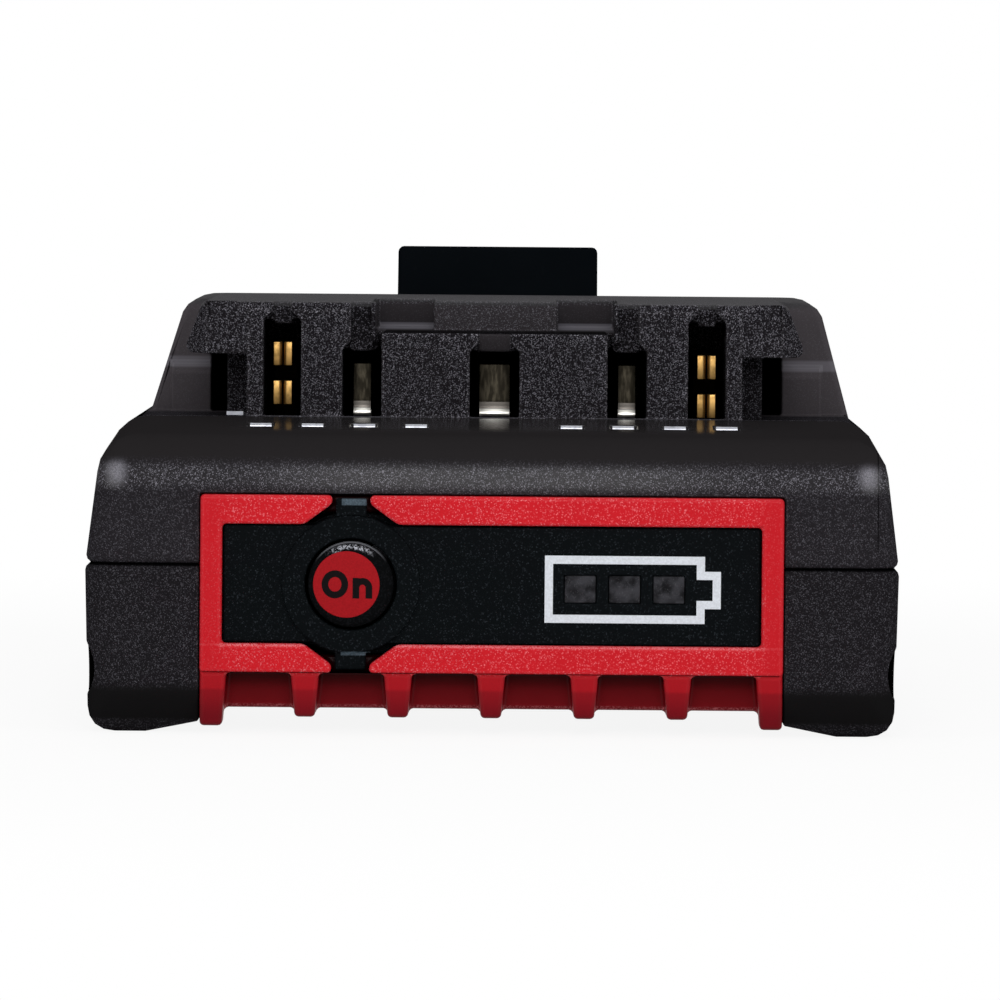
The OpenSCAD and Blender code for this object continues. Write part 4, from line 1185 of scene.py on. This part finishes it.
def loop_mesh(name: str, points: np.ndarray) -> bpy.types.Mesh:
    """Make a ring-shaped mesh from sections that go round and close on themselves.

    Args:
        name: The mesh's name.
        points: Sections by points by 3.

    Returns:
        The closed mesh.
    """
    count, sides = points.shape[:2]
    index = np.arange(count * sides).reshape(count, sides)
    ahead = np.roll(index, -1, axis=0)
    quads = np.stack([index, np.roll(index, -1, axis=1), np.roll(ahead, -1, axis=1), ahead], axis=-1)
    return closed_mesh(name, points, quads.reshape(-1, 4).tolist(), False)


@dataclass(frozen=True)
class Rounding:
    """How a copied solid's edges are rounded.

    Its outer edges at one height may have a radius of their own, and its hollow-cornered faces above
    a height are split into simple ones first.
    """

    radius_mm: float
    segments: int = 2
    rim_z_mm: float = -1.0
    rim_mm: float = 0.0
    sharp_deg: float = 34.0
    split_above_mm: float = math.inf
    level_mm: float = 0.05

    def weight(self, edge: bmesh.types.BMEdge) -> float:
        """Share of the largest radius that an edge gets.

        Args:
            edge: The edge.

        Returns:
            0 where the faces meet nearly flat, 1 on the outer rim, and the plain share elsewhere.
        """
        if edge.calc_face_angle(0.0) < math.radians(self.sharp_deg):
            return 0.0
        middle = (edge.verts[0].co + edge.verts[1].co) / 2
        level = all(abs(vert.co.z / MM - self.rim_z_mm) < self.level_mm for vert in edge.verts)
        outward = any(self.faces_out(face, middle) for face in edge.link_faces)
        return 1.0 if level and outward else self.radius_mm / self.widest_mm()

    @staticmethod
    def faces_out(face: bmesh.types.BMFace, middle: Vector) -> bool:
        """Whether a face looks away from the Z axis: its level normal is within 60 degrees of the way out.

        Args:
            face: The face.
            middle: A point on it.

        Returns:
            Whether it does.
        """
        least = 0.5 * middle.xy.length * face.normal.xy.length
        return face.normal.xy.dot(middle.xy) > least > 0.0

    def widest_mm(self) -> float:
        """The largest radius."""
        return max(self.radius_mm, self.rim_mm)


def softened_copy(node: str, rounding: Rounding, *finishes: AnyFinish) -> None:
    """Copy a CAD node, join its triangles into flat faces and round its edges.

    Args:
        node: The CAD node that the copy stands for.
        rounding: How its edges are rounded.
        finishes: The finish of the faces and, if given, that of the rounded edges.
    """
    source = frame["nodes"][node]
    work = bmesh.new()
    work.from_mesh(source.data)
    bmesh.ops.remove_doubles(work, verts=work.verts, dist=CAD_MERGE_M)
    flat = math.radians(FLAT_DEG)
    bmesh.ops.dissolve_limit(work, angle_limit=flat, verts=work.verts, edges=work.edges)
    high = [face for face in work.faces if face.calc_center_median().z > rounding.split_above_mm * MM]
    bmesh.ops.connect_verts_concave(work, faces=high)
    work.normal_update()
    weights = [rounding.weight(edge) for edge in work.edges]
    mesh = bpy.data.meshes.new(node + "_soft")
    work.to_mesh(mesh)
    work.free()
    mesh.attributes.new("bevel_weight_edge", "FLOAT", "EDGE").data.foreach_set("value", weights)
    if "custom_normal" in mesh.attributes:
        mesh.attributes.remove(mesh.attributes["custom_normal"])
    mesh.polygons.foreach_set("use_smooth", np.ones(len(mesh.polygons), bool))
    mesh.polygons.foreach_set("material_index", np.zeros(len(mesh.polygons), int))
    piece = add_piece(node + "_soft", mesh, Body(source["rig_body"]), *finishes)
    bevel = piece.modifiers.new("rounded_edges", "BEVEL")
    bevel.width = rounding.widest_mm() * MM
    bevel.segments = rounding.segments
    bevel.limit_method = "WEIGHT"
    bevel.use_clamp_overlap = False
    bevel.material = len(finishes) - 1
    flatten_faces(piece)
    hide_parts(node)


def dress_nodes(finish: Finish, *nodes: str) -> None:
    """Give CAD nodes whose shape is right a finish.

    Args:
        finish: The finish.
        nodes: The nodes' names.
    """
    for node in nodes:
        shown = frame["nodes"][node]
        for slot in shown.material_slots:
            slot.material = PALETTE.get(finish)
        LOG.info("node %s: %s", node, finish.name)


@dataclass
class Housing:
    """The two black mouldings, with bright metal strips in the deck's vents and a line along the crest as
    painted highlights.
    """

    edge_mm: float = 0.22
    joint_mm: float = 15.9
    joint_edge_mm: float = 0.6
    vent_pitch_mm: float = 4.95
    vent_count: int = 4
    vent_y_mm: float = -39.0
    vent_top_mm: float = 28.57
    lip_half_mm: float = 1.02
    lip_tall_mm: float = 0.34
    lip_gap_mm: float = 0.04
    lip_bend_mm: tuple[float, float] = (0.2, 0.1)
    lip_mm: float = 0.06
    web_mm: float = -25.2
    web_y_mm: float = -26.0
    foot_half_mm: float = 0.8
    foot_gap_mm: float = 0.05
    foot_span_mm: tuple[float, float] = (0.26, -0.1)
    crest_mm: float = 29.0
    tower_mm: float = -32.0
    nose_half_mm: float = 23.9
    line_mm: float = 0.05
    line_gap_mm: float = 0.02
    line_span_mm: tuple[float, float] = (0.06, -0.04)
    split_mm: float = 30.0

    def build(self) -> None:
        """Replace both mouldings by rounded copies and line the vents."""
        rounding = Rounding(
            self.edge_mm, rim_z_mm=self.joint_mm, rim_mm=self.joint_edge_mm, split_above_mm=self.split_mm)
        # Their rounded edges get the lighter finish: wear and painted highlight.
        for node in ("lower_housing", "upper_housing"):
            softened_copy(node, rounding, Finish.housing_black, Extra.edge_wear_and_sheen_black)
        self.add_vent_lips()
        self.add_crest_line()

    def add_vent_lips(self) -> None:
        """Put a bright metal strip, a painted highlight, on each vent's far wall, bent forwards below, and
        by the left rail's foot.
        """
        y, top = self.vent_y_mm - self.lip_gap_mm, self.vent_top_mm
        low = top - self.lip_tall_mm
        bend = (y - self.lip_bend_mm[0], low - self.lip_bend_mm[1])
        path = smooth_path([(y, top), (y, low), bend], count=12, window=2)
        places = (np.arange(self.vent_count) + 1.5) * self.vent_pitch_mm
        strips = [self.strip("lip", path, x, self.lip_half_mm, self.lip_mm)
                  for x in np.concatenate([-places[::-1], places])]
        foot = self.upright(self.web_y_mm - self.foot_gap_mm, self.foot_span_mm)
        strips.append(self.strip("foot", foot, self.web_mm, self.foot_half_mm, self.lip_mm))
        # Bright metal strips as painted highlights.
        add_piece("vent_lips", join_meshes("vent_lips", strips), Body.PACK, Extra.vent_highlight)

    def add_crest_line(self) -> None:
        """Draw the fine painted highlight line along the crest in front of the tower."""
        crest = self.upright(self.tower_mm - self.line_gap_mm, self.line_span_mm)
        mesh = self.strip("crest_line", crest, 0.0, self.nose_half_mm, self.line_mm)
        add_piece("crest_line", mesh, Body.PACK, Extra.crest_highlight)

    def upright(self, y: float, span: tuple[float, float]) -> np.ndarray:
        """Both ends of an upright line, as heights above the crest, at one Y."""
        return np.array([(y, self.crest_mm + rise) for rise in span])

    @staticmethod
    def strip(name: str, path: np.ndarray, middle: float, half: float, thick: float) -> bpy.types.Mesh:
        """Carry a thin rectangle along a path in Y and Z; all sizes are in millimetres.

        Args:
            name: The mesh's name.
            path: Y and Z of its points.
            middle: Where its middle is across the pack.
            half: Half of its width across the pack.
            thick: Its thickness.

        Returns:
            The closed mesh.
        """
        ends = (middle - half) * MM, (middle + half) * MM
        return ribbon(name, path * MM, thick * MM, *ends, False, 0)


@dataclass
class FrontBezel:
    """The red frame with its comb of teeth."""

    edge_mm: float = 0.38

    def build(self) -> None:
        """Replace the bezel by a rounded copy."""
        # Its rounded edges get the lighter finish: wear and painted highlight.
        softened_copy("front_bezel", Rounding(self.edge_mm, segments=3), Finish.bezel_red, Extra.edge_wear_and_sheen_red)


@dataclass
class IndicatorPanel:
    """The black panel, its three smoked windows and the printed battery sign."""

    edge_mm: float = 0.2
    window_edge_mm: float = 0.12
    field_mm: float = 0.25
    left_mm: float = 4.95
    right_mm: float = 19.93
    tip_mm: float = 21.43
    middle_mm: float = 13.86
    height_mm: float = 6.3
    tip_height_mm: float = 3.5
    line_mm: float = 0.77
    film_mm: float = 0.02

    def build(self) -> None:
        """Replace the panel by a rounded copy, dress the windows and print the sign."""
        softened_copy("indicator_panel", Rounding(self.edge_mm), Finish.panel_black)
        softened_copy("indicator_windows", Rounding(self.window_edge_mm), Finish.window_smoke)
        self.print_sign()

    def print_sign(self) -> None:
        """Print the battery sign: a line that steps out round the tip at the right."""
        half = self.line_mm / 2
        x0, x1, x2 = self.left_mm + half, self.right_mm - half, self.tip_mm - half
        z0, z1 = self.height_mm / 2 - half, self.tip_height_mm / 2 - half
        right = np.array([[x1, -z0], [x1, -z1], [x2, -z1]])
        path = np.concatenate([right, right[::-1] * (1, -1), [[x0, z0], [x0, -z0]]])
        path[:, 1] += self.middle_mm
        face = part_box("indicator_panel")[0].y + (self.field_mm * MM)
        mesh = ribbon("battery_sign", path * MM, self.line_mm * MM, face - self.film_mm * MM, face, True)
        add_piece("battery_sign", mesh, Body.PACK, Extra.print_white)


@dataclass
class OnButton:
    """The round button with its red disc and lettering."""

    cap_mm: float = 4.0
    rim_mm: tuple[float, float] = (0.95, 0.6)
    disc_mm: float = 3.12
    middle_mm: tuple[float, float] = (-13.2, 14.17)
    disc_x_mm: float = -13.6
    disc_edge_mm: float = 0.08
    flange_back_mm: float = 2.1
    flange_mm: float = 0.65
    peg_mm: float = 1.5
    stroke_mm: float = 0.62
    base_mm: float = -1.3
    ring_mm: tuple[float, float] = (-1.07, 1.31)
    ring_radii_mm: tuple[float, float] = (0.93, 1.0)
    stem_mm: tuple[float, float] = (0.9, 1.92)
    arch_mm: float = 1.22
    arch_drop_mm: float = 0.93
    arch_radii_mm: tuple[float, float] = (0.61, 0.62)
    film_mm: float = 0.02
    arch_under_mm: float = 0.002
    steps: int = 96

    def build(self) -> None:
        """Turn the cap and the disc, and print the word."""
        low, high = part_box("on_button")
        cap_face, end = low.y / MM, high.y / MM
        disc_low, disc_high = (corner.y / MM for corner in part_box("button_disc"))
        wide, deep = self.rim_mm
        rim = arc((self.cap_mm - wide, cap_face + deep), (wide, deep), -90, 0, 12)
        flange = (high.x - low.x) / MM / 2
        flange_y = end - self.flange_back_mm
        flange_end = flange_y + self.flange_mm
        profile = np.concatenate([
            [[0, cap_face]],
            rim,
            [[self.cap_mm, flange_y], [flange, flange_y], [flange, flange_end]],
            [[self.peg_mm, flange_end], [self.peg_mm, end], [0, end]],
        ])
        middle = (self.middle_mm[0] * MM, self.middle_mm[1] * MM)
        cap = add_piece("button_cap", revolve_y("button_cap", profile * MM, middle, self.steps),
                        Body.BUTTON, Finish.button_black)
        flatten_faces(cap)
        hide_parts("on_button")
        soft = self.disc_edge_mm
        edge = arc((self.disc_mm - soft, disc_low + soft), (soft, soft), -90, 0, 4)
        face = np.concatenate([[[0, disc_low]], edge, [[self.disc_mm, disc_high], [0, disc_high]]])
        seat_middle = (self.disc_x_mm * MM, middle[1])
        disc = add_piece("button_face", revolve_y("button_face", face * MM, seat_middle, self.steps),
                         Body.BUTTON, Finish.disc_red)
        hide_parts("button_disc")
        self.print_word(disc_low)

    def print_word(self, face: float) -> None:
        """Print the word: an elliptic ring, then a stem with an arch that ends in a second stem.

        Args:
            face: Y of the disc's face, in millimetres.
        """
        x0, z0 = self.disc_x_mm, self.middle_mm[1]
        base = z0 + self.base_mm
        ring = arc((x0 + self.ring_mm[0], base + self.ring_mm[1]), self.ring_radii_mm, 0, 360, 49)[:-1]
        stem_x, top = x0 + self.stem_mm[0], base + self.stem_mm[1]
        far_x = stem_x + self.arch_mm
        bend = arc(((stem_x + far_x) / 2, top - self.arch_drop_mm), self.arch_radii_mm, 180, 0, 17)
        arch = np.concatenate([bend, [[far_x, base]]])
        stem = np.array([[stem_x, base], [stem_x, top]])
        width, y0, y1 = self.stroke_mm * MM, (face - self.film_mm) * MM, face * MM
        strokes = [ribbon("ring", ring * MM, width, y0, y1, True),
                   ribbon("stem", stem * MM, width, y0, y1, False),
                   ribbon("arch", arch * MM, width, y0 + self.arch_under_mm * MM, y1, False)]
        add_piece("button_word", join_meshes("button_word", strokes), Body.BUTTON, Extra.print_black)


@dataclass
class TerminalTower:
    """The contacts in the tower's slots and the carrier under them."""

    outer_mm: float = 20.5
    inner_mm: float = 12.8
    tip_mm: float = -29.0
    back_mm: float = -17.7
    leaf_low_mm: float = 29.1
    leaf_lift_mm: float = 1.0
    leaf_pitch_mm: float = 3.75
    leaf_tall_mm: float = 2.25
    leaf_mm: float = 0.45
    leaf_half_mm: Triple = (0.85, 0.32, 0.88)
    leaf_end_mm: float = 0.23
    plate_mm: float = 0.6
    plate_half_mm: float = 1.075
    signal_mm: float = 0.5
    signal_width_mm: float = 1.65
    middle_width_mm: float = 2.9
    crest_mm: float = 29.0
    foot_mm: float = -22.0
    edge_mm: float = 0.06
    sharp_deg: float = 50.0

    def build(self) -> None:
        """Bend the contacts and dress the carrier."""
        self.add_power("power_contact_left", -self.outer_mm, self.leaf_lift_mm)
        self.add_power("power_contact_right", self.outer_mm, 0.0)
        self.add_signal("signal_contact_left", -self.inner_mm, self.signal_width_mm)
        self.add_signal("signal_contact_middle", 0.0, self.middle_width_mm)
        self.add_signal("signal_contact_right", self.inner_mm, self.signal_width_mm)
        dress_nodes(Finish.carrier_black, "terminal_carrier")

    def add_power(self, node: str, x: float, lift: float) -> None:
        """Two pairs of leaves that pinch and open again, on one upright plate.

        Args:
            node: The CAD node that the piece stands for.
            x: Its middle across the pack.
            lift: How much higher than the lowest place its leaves are.
        """
        out, pinch, flare = self.leaf_half_mm
        back, end = self.back_mm + self.plate_mm / 2, self.tip_mm + self.leaf_end_mm
        bow = [(out, back), (out, self.back_mm - 5.0), (pinch, self.tip_mm + 2.2)]
        line = smooth_path(bow + [(pinch, end), (flare, end)], count=150, window=1)
        low = self.leaf_low_mm + lift
        strips = []
        for z in (low, low + self.leaf_pitch_mm):
            for side in (-1, 1):
                path = (line * (side, 1) + (x, 0)) * MM
                ends = z * MM, (z + self.leaf_tall_mm) * MM
                strips.append(ribbon("leaf", path, self.leaf_mm * MM, *ends, False, 2))
        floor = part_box("control_board")[1].z
        plate = np.array([(x - self.plate_half_mm, back), (x + self.plate_half_mm, back)]) * MM
        top = (low + self.leaf_pitch_mm + self.leaf_tall_mm) * MM
        strips.append(ribbon("plate", plate, self.plate_mm * MM, floor, top, False, 2))
        self.finish_contact(node, join_meshes(node + "_bent", strips), Finish.contact_brass)

    def add_signal(self, node: str, x: float, width: float) -> None:
        """One strip that rises from the board, dips at the slot's floor and leans back as it goes up.

        Args:
            node: The CAD node that the piece stands for.
            x: Its middle across the pack.
            width: Width of the strip.
        """
        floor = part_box("control_board")[1].z / MM
        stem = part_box("terminal_carrier")[1].z / MM
        foot, tip, crest = self.foot_mm, self.tip_mm, self.crest_mm
        riser = [(foot, floor), (foot, stem + 0.4), (foot - 1.2, stem + 1.2)]
        dip = [(tip + 1.2, crest + 0.25), (tip + 0.25, crest + 0.25), (tip + 0.62, crest + 0.8)]
        lean = [(tip + 0.66, crest + 1.5), (tip + 1.3, crest + 5.0)]
        line = smooth_path(riser + dip + lean, count=150, window=2)
        ends = (x - width / 2) * MM, (x + width / 2) * MM
        mesh = ribbon(node, line * MM, self.signal_mm * MM, *ends, False, 0)
        self.finish_contact(node, mesh, Finish.contact_silver)

    def finish_contact(self, node: str, mesh: bpy.types.Mesh, finish: Finish) -> None:
        """Round a contact's edges and put it in its node's place.

        Args:
            node: The CAD node that the piece stands for.
            mesh: The contact's mesh.
            finish: Its finish.
        """
        piece = add_piece(node + "_bent", mesh, Body.PACK, finish)
        mesh.polygons.foreach_set("use_smooth", np.ones(len(mesh.polygons), bool))
        bevel = piece.modifiers.new("rounded_edges", "BEVEL")
        bevel.width = self.edge_mm * MM
        bevel.segments = 2
        bevel.limit_method = "ANGLE"
        bevel.angle_limit = math.radians(self.sharp_deg)
        flatten_faces(piece)
        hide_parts(node)


@dataclass
class ReleaseLatch:
    """The latch, its springs and the plate that holds them."""

    edge_mm: float = 0.5
    spring_x_mm: float = 8.5
    spring_y_mm: float = 44.5
    coil_mm: float = 2.35
    wire_mm: float = 0.25
    turns: int = 6
    closed_turns: float = 0.8
    turn_steps: int = 32
    wire_sides: int = 10
    keep: float = 0.41

    def build(self) -> None:
        """Round the latch, wind its springs and dress what carries them."""
        softened_copy("release_latch", Rounding(self.edge_mm, segments=3), Finish.latch_black)
        self.wind_springs()
        dress_nodes(Finish.carrier_black, "latch_retainer")
        dress_nodes(Finish.screw_steel, "retainer_screws", "housing_screws")

    def wind_springs(self) -> None:
        """Wind both springs: a round wire along x = R cos t, y = R sin t, closed flat at both ends."""
        low, high = (corner.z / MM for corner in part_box("latch_springs"))
        turn = np.linspace(0, 2 * np.pi * self.turns, self.turns * self.turn_steps + 1)[:, None]
        round_wire = np.linspace(0, 2 * np.pi, self.wire_sides, endpoint=False)[None, :]
        open_turns = self.turns - 2 * self.closed_turns
        share = np.clip((turn / (2 * np.pi) - self.closed_turns) / open_turns, 0, 1)
        reach = self.coil_mm + self.wire_mm * np.cos(round_wire)
        rise = low + self.wire_mm + share * (high - low - 2 * self.wire_mm)
        height = rise + self.wire_mm * np.sin(round_wire)
        depth = self.spring_y_mm + reach * np.sin(turn)
        coils = []
        for x in (-self.spring_x_mm, self.spring_x_mm):
            points = np.stack([x + reach * np.cos(turn), depth, height], axis=-1)
            coils.append(grid_mesh("coil", points * MM))
        piece = add_piece("latch_coils", join_meshes("latch_coils", coils), Body.PACK, Finish.spring_steel)
        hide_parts("latch_springs")
        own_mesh(piece)


@dataclass
class Inside:
    """The cells, strips and boards that the housings hide."""

    cell_count: int = 5

    def build(self) -> None:
        """Dress every inner node."""
        dress_nodes(Finish.cell_sleeve, *(f"cell_{i + 1}" for i in range(self.cell_count)))
        dress_nodes(Finish.carrier_black, "cell_holder_left", "cell_holder_right")
        strips = [f"series_strip_{i + 1}" for i in range(self.cell_count - 1)]
        dress_nodes(Finish.strip_nickel, "negative_strip", "positive_strip", *strips)
        dress_nodes(Finish.paper_grey, "end_insulator_left", "end_insulator_right", "insulation_sheet")
        dress_nodes(Finish.foam_black, "foam_strips")
        dress_nodes(Finish.board_green, "control_board", "gauge_board")
        dress_nodes(Finish.chip_black, "power_transistors", "controller_chip", "gauge_switch", "thermistor")
        dress_nodes(Finish.plunger_white, "switch_plunger", "gauge_lamps", "fuse")
        dress_nodes(Finish.cable_grey, "gauge_cable")
        dress_nodes(Finish.screw_steel, "board_screws")


@dataclass(frozen=True)
class SoftBox:
    """A square soft light."""

    name: str
    place_m: Triple
    aim_m: Triple
    side_m: float
    power_w: float

    def build(self) -> None:
        """Hang the light and turn it towards what it lights."""
        lamp = bpy.data.lights.new(self.name, "AREA")
        lamp.size = self.side_m
        lamp.energy = self.power_w
        holder = bpy.data.objects.new(self.name, lamp)
        holder.location = self.place_m
        toward = Vector(self.aim_m) - Vector(self.place_m)
        holder.rotation_euler = toward.to_track_quat("-Z", "Y").to_euler()
        bpy.context.scene.collection.objects.link(holder)


@dataclass
class Studio:
    """Floor, soft lights, white surroundings and the camera."""

    camera_mm: Triple = (2.8, -858.0, 56.0)
    aim_mm: Triple = (0.7, -58.0, 22.2)
    lens_mm: float = 308.5
    sensor_mm: float = 36.0
    roll_deg: float = 0.48
    clip_m: float = 20.0
    fill: float = 0.22
    floor_half_m: float = 3.0
    floor_grey: Colour = (0.92, 0.92, 0.92)
    white: Colour = (1.0, 1.0, 1.0)
    shadow_mm: tuple[float, float] = (90.0, 260.0)
    near_glow: float = 0.9
    soft_boxes: tuple[SoftBox, ...] = (
        SoftBox("front_box", (0.0, -0.75, 0.36), (0, -0.04, 0.02), 0.36, 2.4),
        SoftBox("top_box", (0.0, 0.0, 0.9), (0, 0, 0.02), 0.6, 1.75),
        SoftBox("left_box", (-0.62, -0.45, 0.22), (0, -0.04, 0.02), 0.4, 1.2),
        SoftBox("right_box", (0.62, -0.45, 0.22), (0, -0.04, 0.02), 0.4, 1.5),
        SoftBox("back_box", (0.0, 0.66, 0.7), (0, 0.04, 0.02), 0.4, 1.6),
    )

    def build(self) -> None:
        """Set up everything round the object."""
        self.add_floor()
        self.add_surroundings()
        for soft_box in self.soft_boxes:
            soft_box.build()
        self.add_camera()

    def add_floor(self) -> None:
        """A pale floor that shows nearly white to the camera and keeps the shadow."""
        half = self.floor_half_m
        mesh = bpy.data.meshes.new("floor")
        corners = [(-half, -half, 0), (half, -half, 0), (half, half, 0), (-half, half, 0)]
        mesh.from_pydata(corners, [], [(0, 1, 2, 3)])
        floor = bpy.data.objects.new("floor", mesh)
        bpy.context.scene.collection.objects.link(floor)
        paint = Paint("pale_floor")
        soft = paint.node("ShaderNodeBsdfDiffuse", {}, {"Color": self.floor_grey})
        glow = paint.node("ShaderNodeEmission", {}, {"Color": self.white, "Strength": 1.0})
        x, y = paint.axis("X"), paint.axis("Y")
        far = ((x * x + y * y) ** 0.5).band(*self.shadow_mm)
        share = self.seen(paint) * (self.near_glow + far * (1 - self.near_glow))
        shader = paint.node("ShaderNodeMixShader", {}, {0: share, 1: soft, 2: glow})
        mesh.materials.append(paint.close(shader))

    @staticmethod
    def seen(paint: Paint) -> Shade:
        """1 for rays from the camera, mirrors and glass, and 0 for light that falls on things."""
        rays = [paint.node("ShaderNodeLightPath", {}, {}, f"Is {kind} Ray")
                for kind in ("Camera", "Glossy", "Transmission")]
        return rays[0].most(rays[1]).most(rays[2])

    def add_surroundings(self) -> None:
        """White to the camera and to mirrors, a plain grey fill to everything else."""
        world = bpy.data.worlds.new("white_room")
        bpy.context.scene.world = world
        world.use_nodes = True
        paint = Paint("white_room_nodes")
        bpy.data.materials.remove(paint.material)
        paint.tree = world.node_tree
        paint.tree.nodes.clear()
        strength = self.fill + self.seen(paint) * (1 - self.fill)
        glow = paint.node("ShaderNodeBackground", {}, {"Color": self.white, "Strength": strength})
        paint.node("ShaderNodeOutputWorld", {}, {"Surface": glow})

    def add_camera(self) -> None:
        """Place the camera at the photograph's viewing angle."""
        lens = bpy.data.cameras.new("camera")
        lens.lens = self.lens_mm
        lens.sensor_width = self.sensor_mm
        lens.clip_end = self.clip_m
        camera = bpy.data.objects.new("camera", lens)
        place = Vector(self.camera_mm) * MM
        toward = (Vector(self.aim_mm) * MM - place).to_track_quat("-Z", "Y")
        roll = Matrix.Rotation(math.radians(self.roll_deg), 4, "Z")
        camera.matrix_world = Matrix.Translation(place) @ toward.to_matrix().to_4x4() @ roll
        bpy.context.scene.collection.objects.link(camera)
        bpy.context.scene.camera = camera


def main() -> None:
    """Build the pack's pieces in order, then the studio round them."""
    logging.basicConfig(level=logging.INFO, format="%(name)s %(message)s")
    bpy.context.scene.view_settings.view_transform = "Standard"
    parts = (Housing(), FrontBezel(), IndicatorPanel(), OnButton(), TerminalTower(), ReleaseLatch(),
             Inside(), Studio())
    for part in parts:
        part.build()


if __name__ == "__main__":
    main()
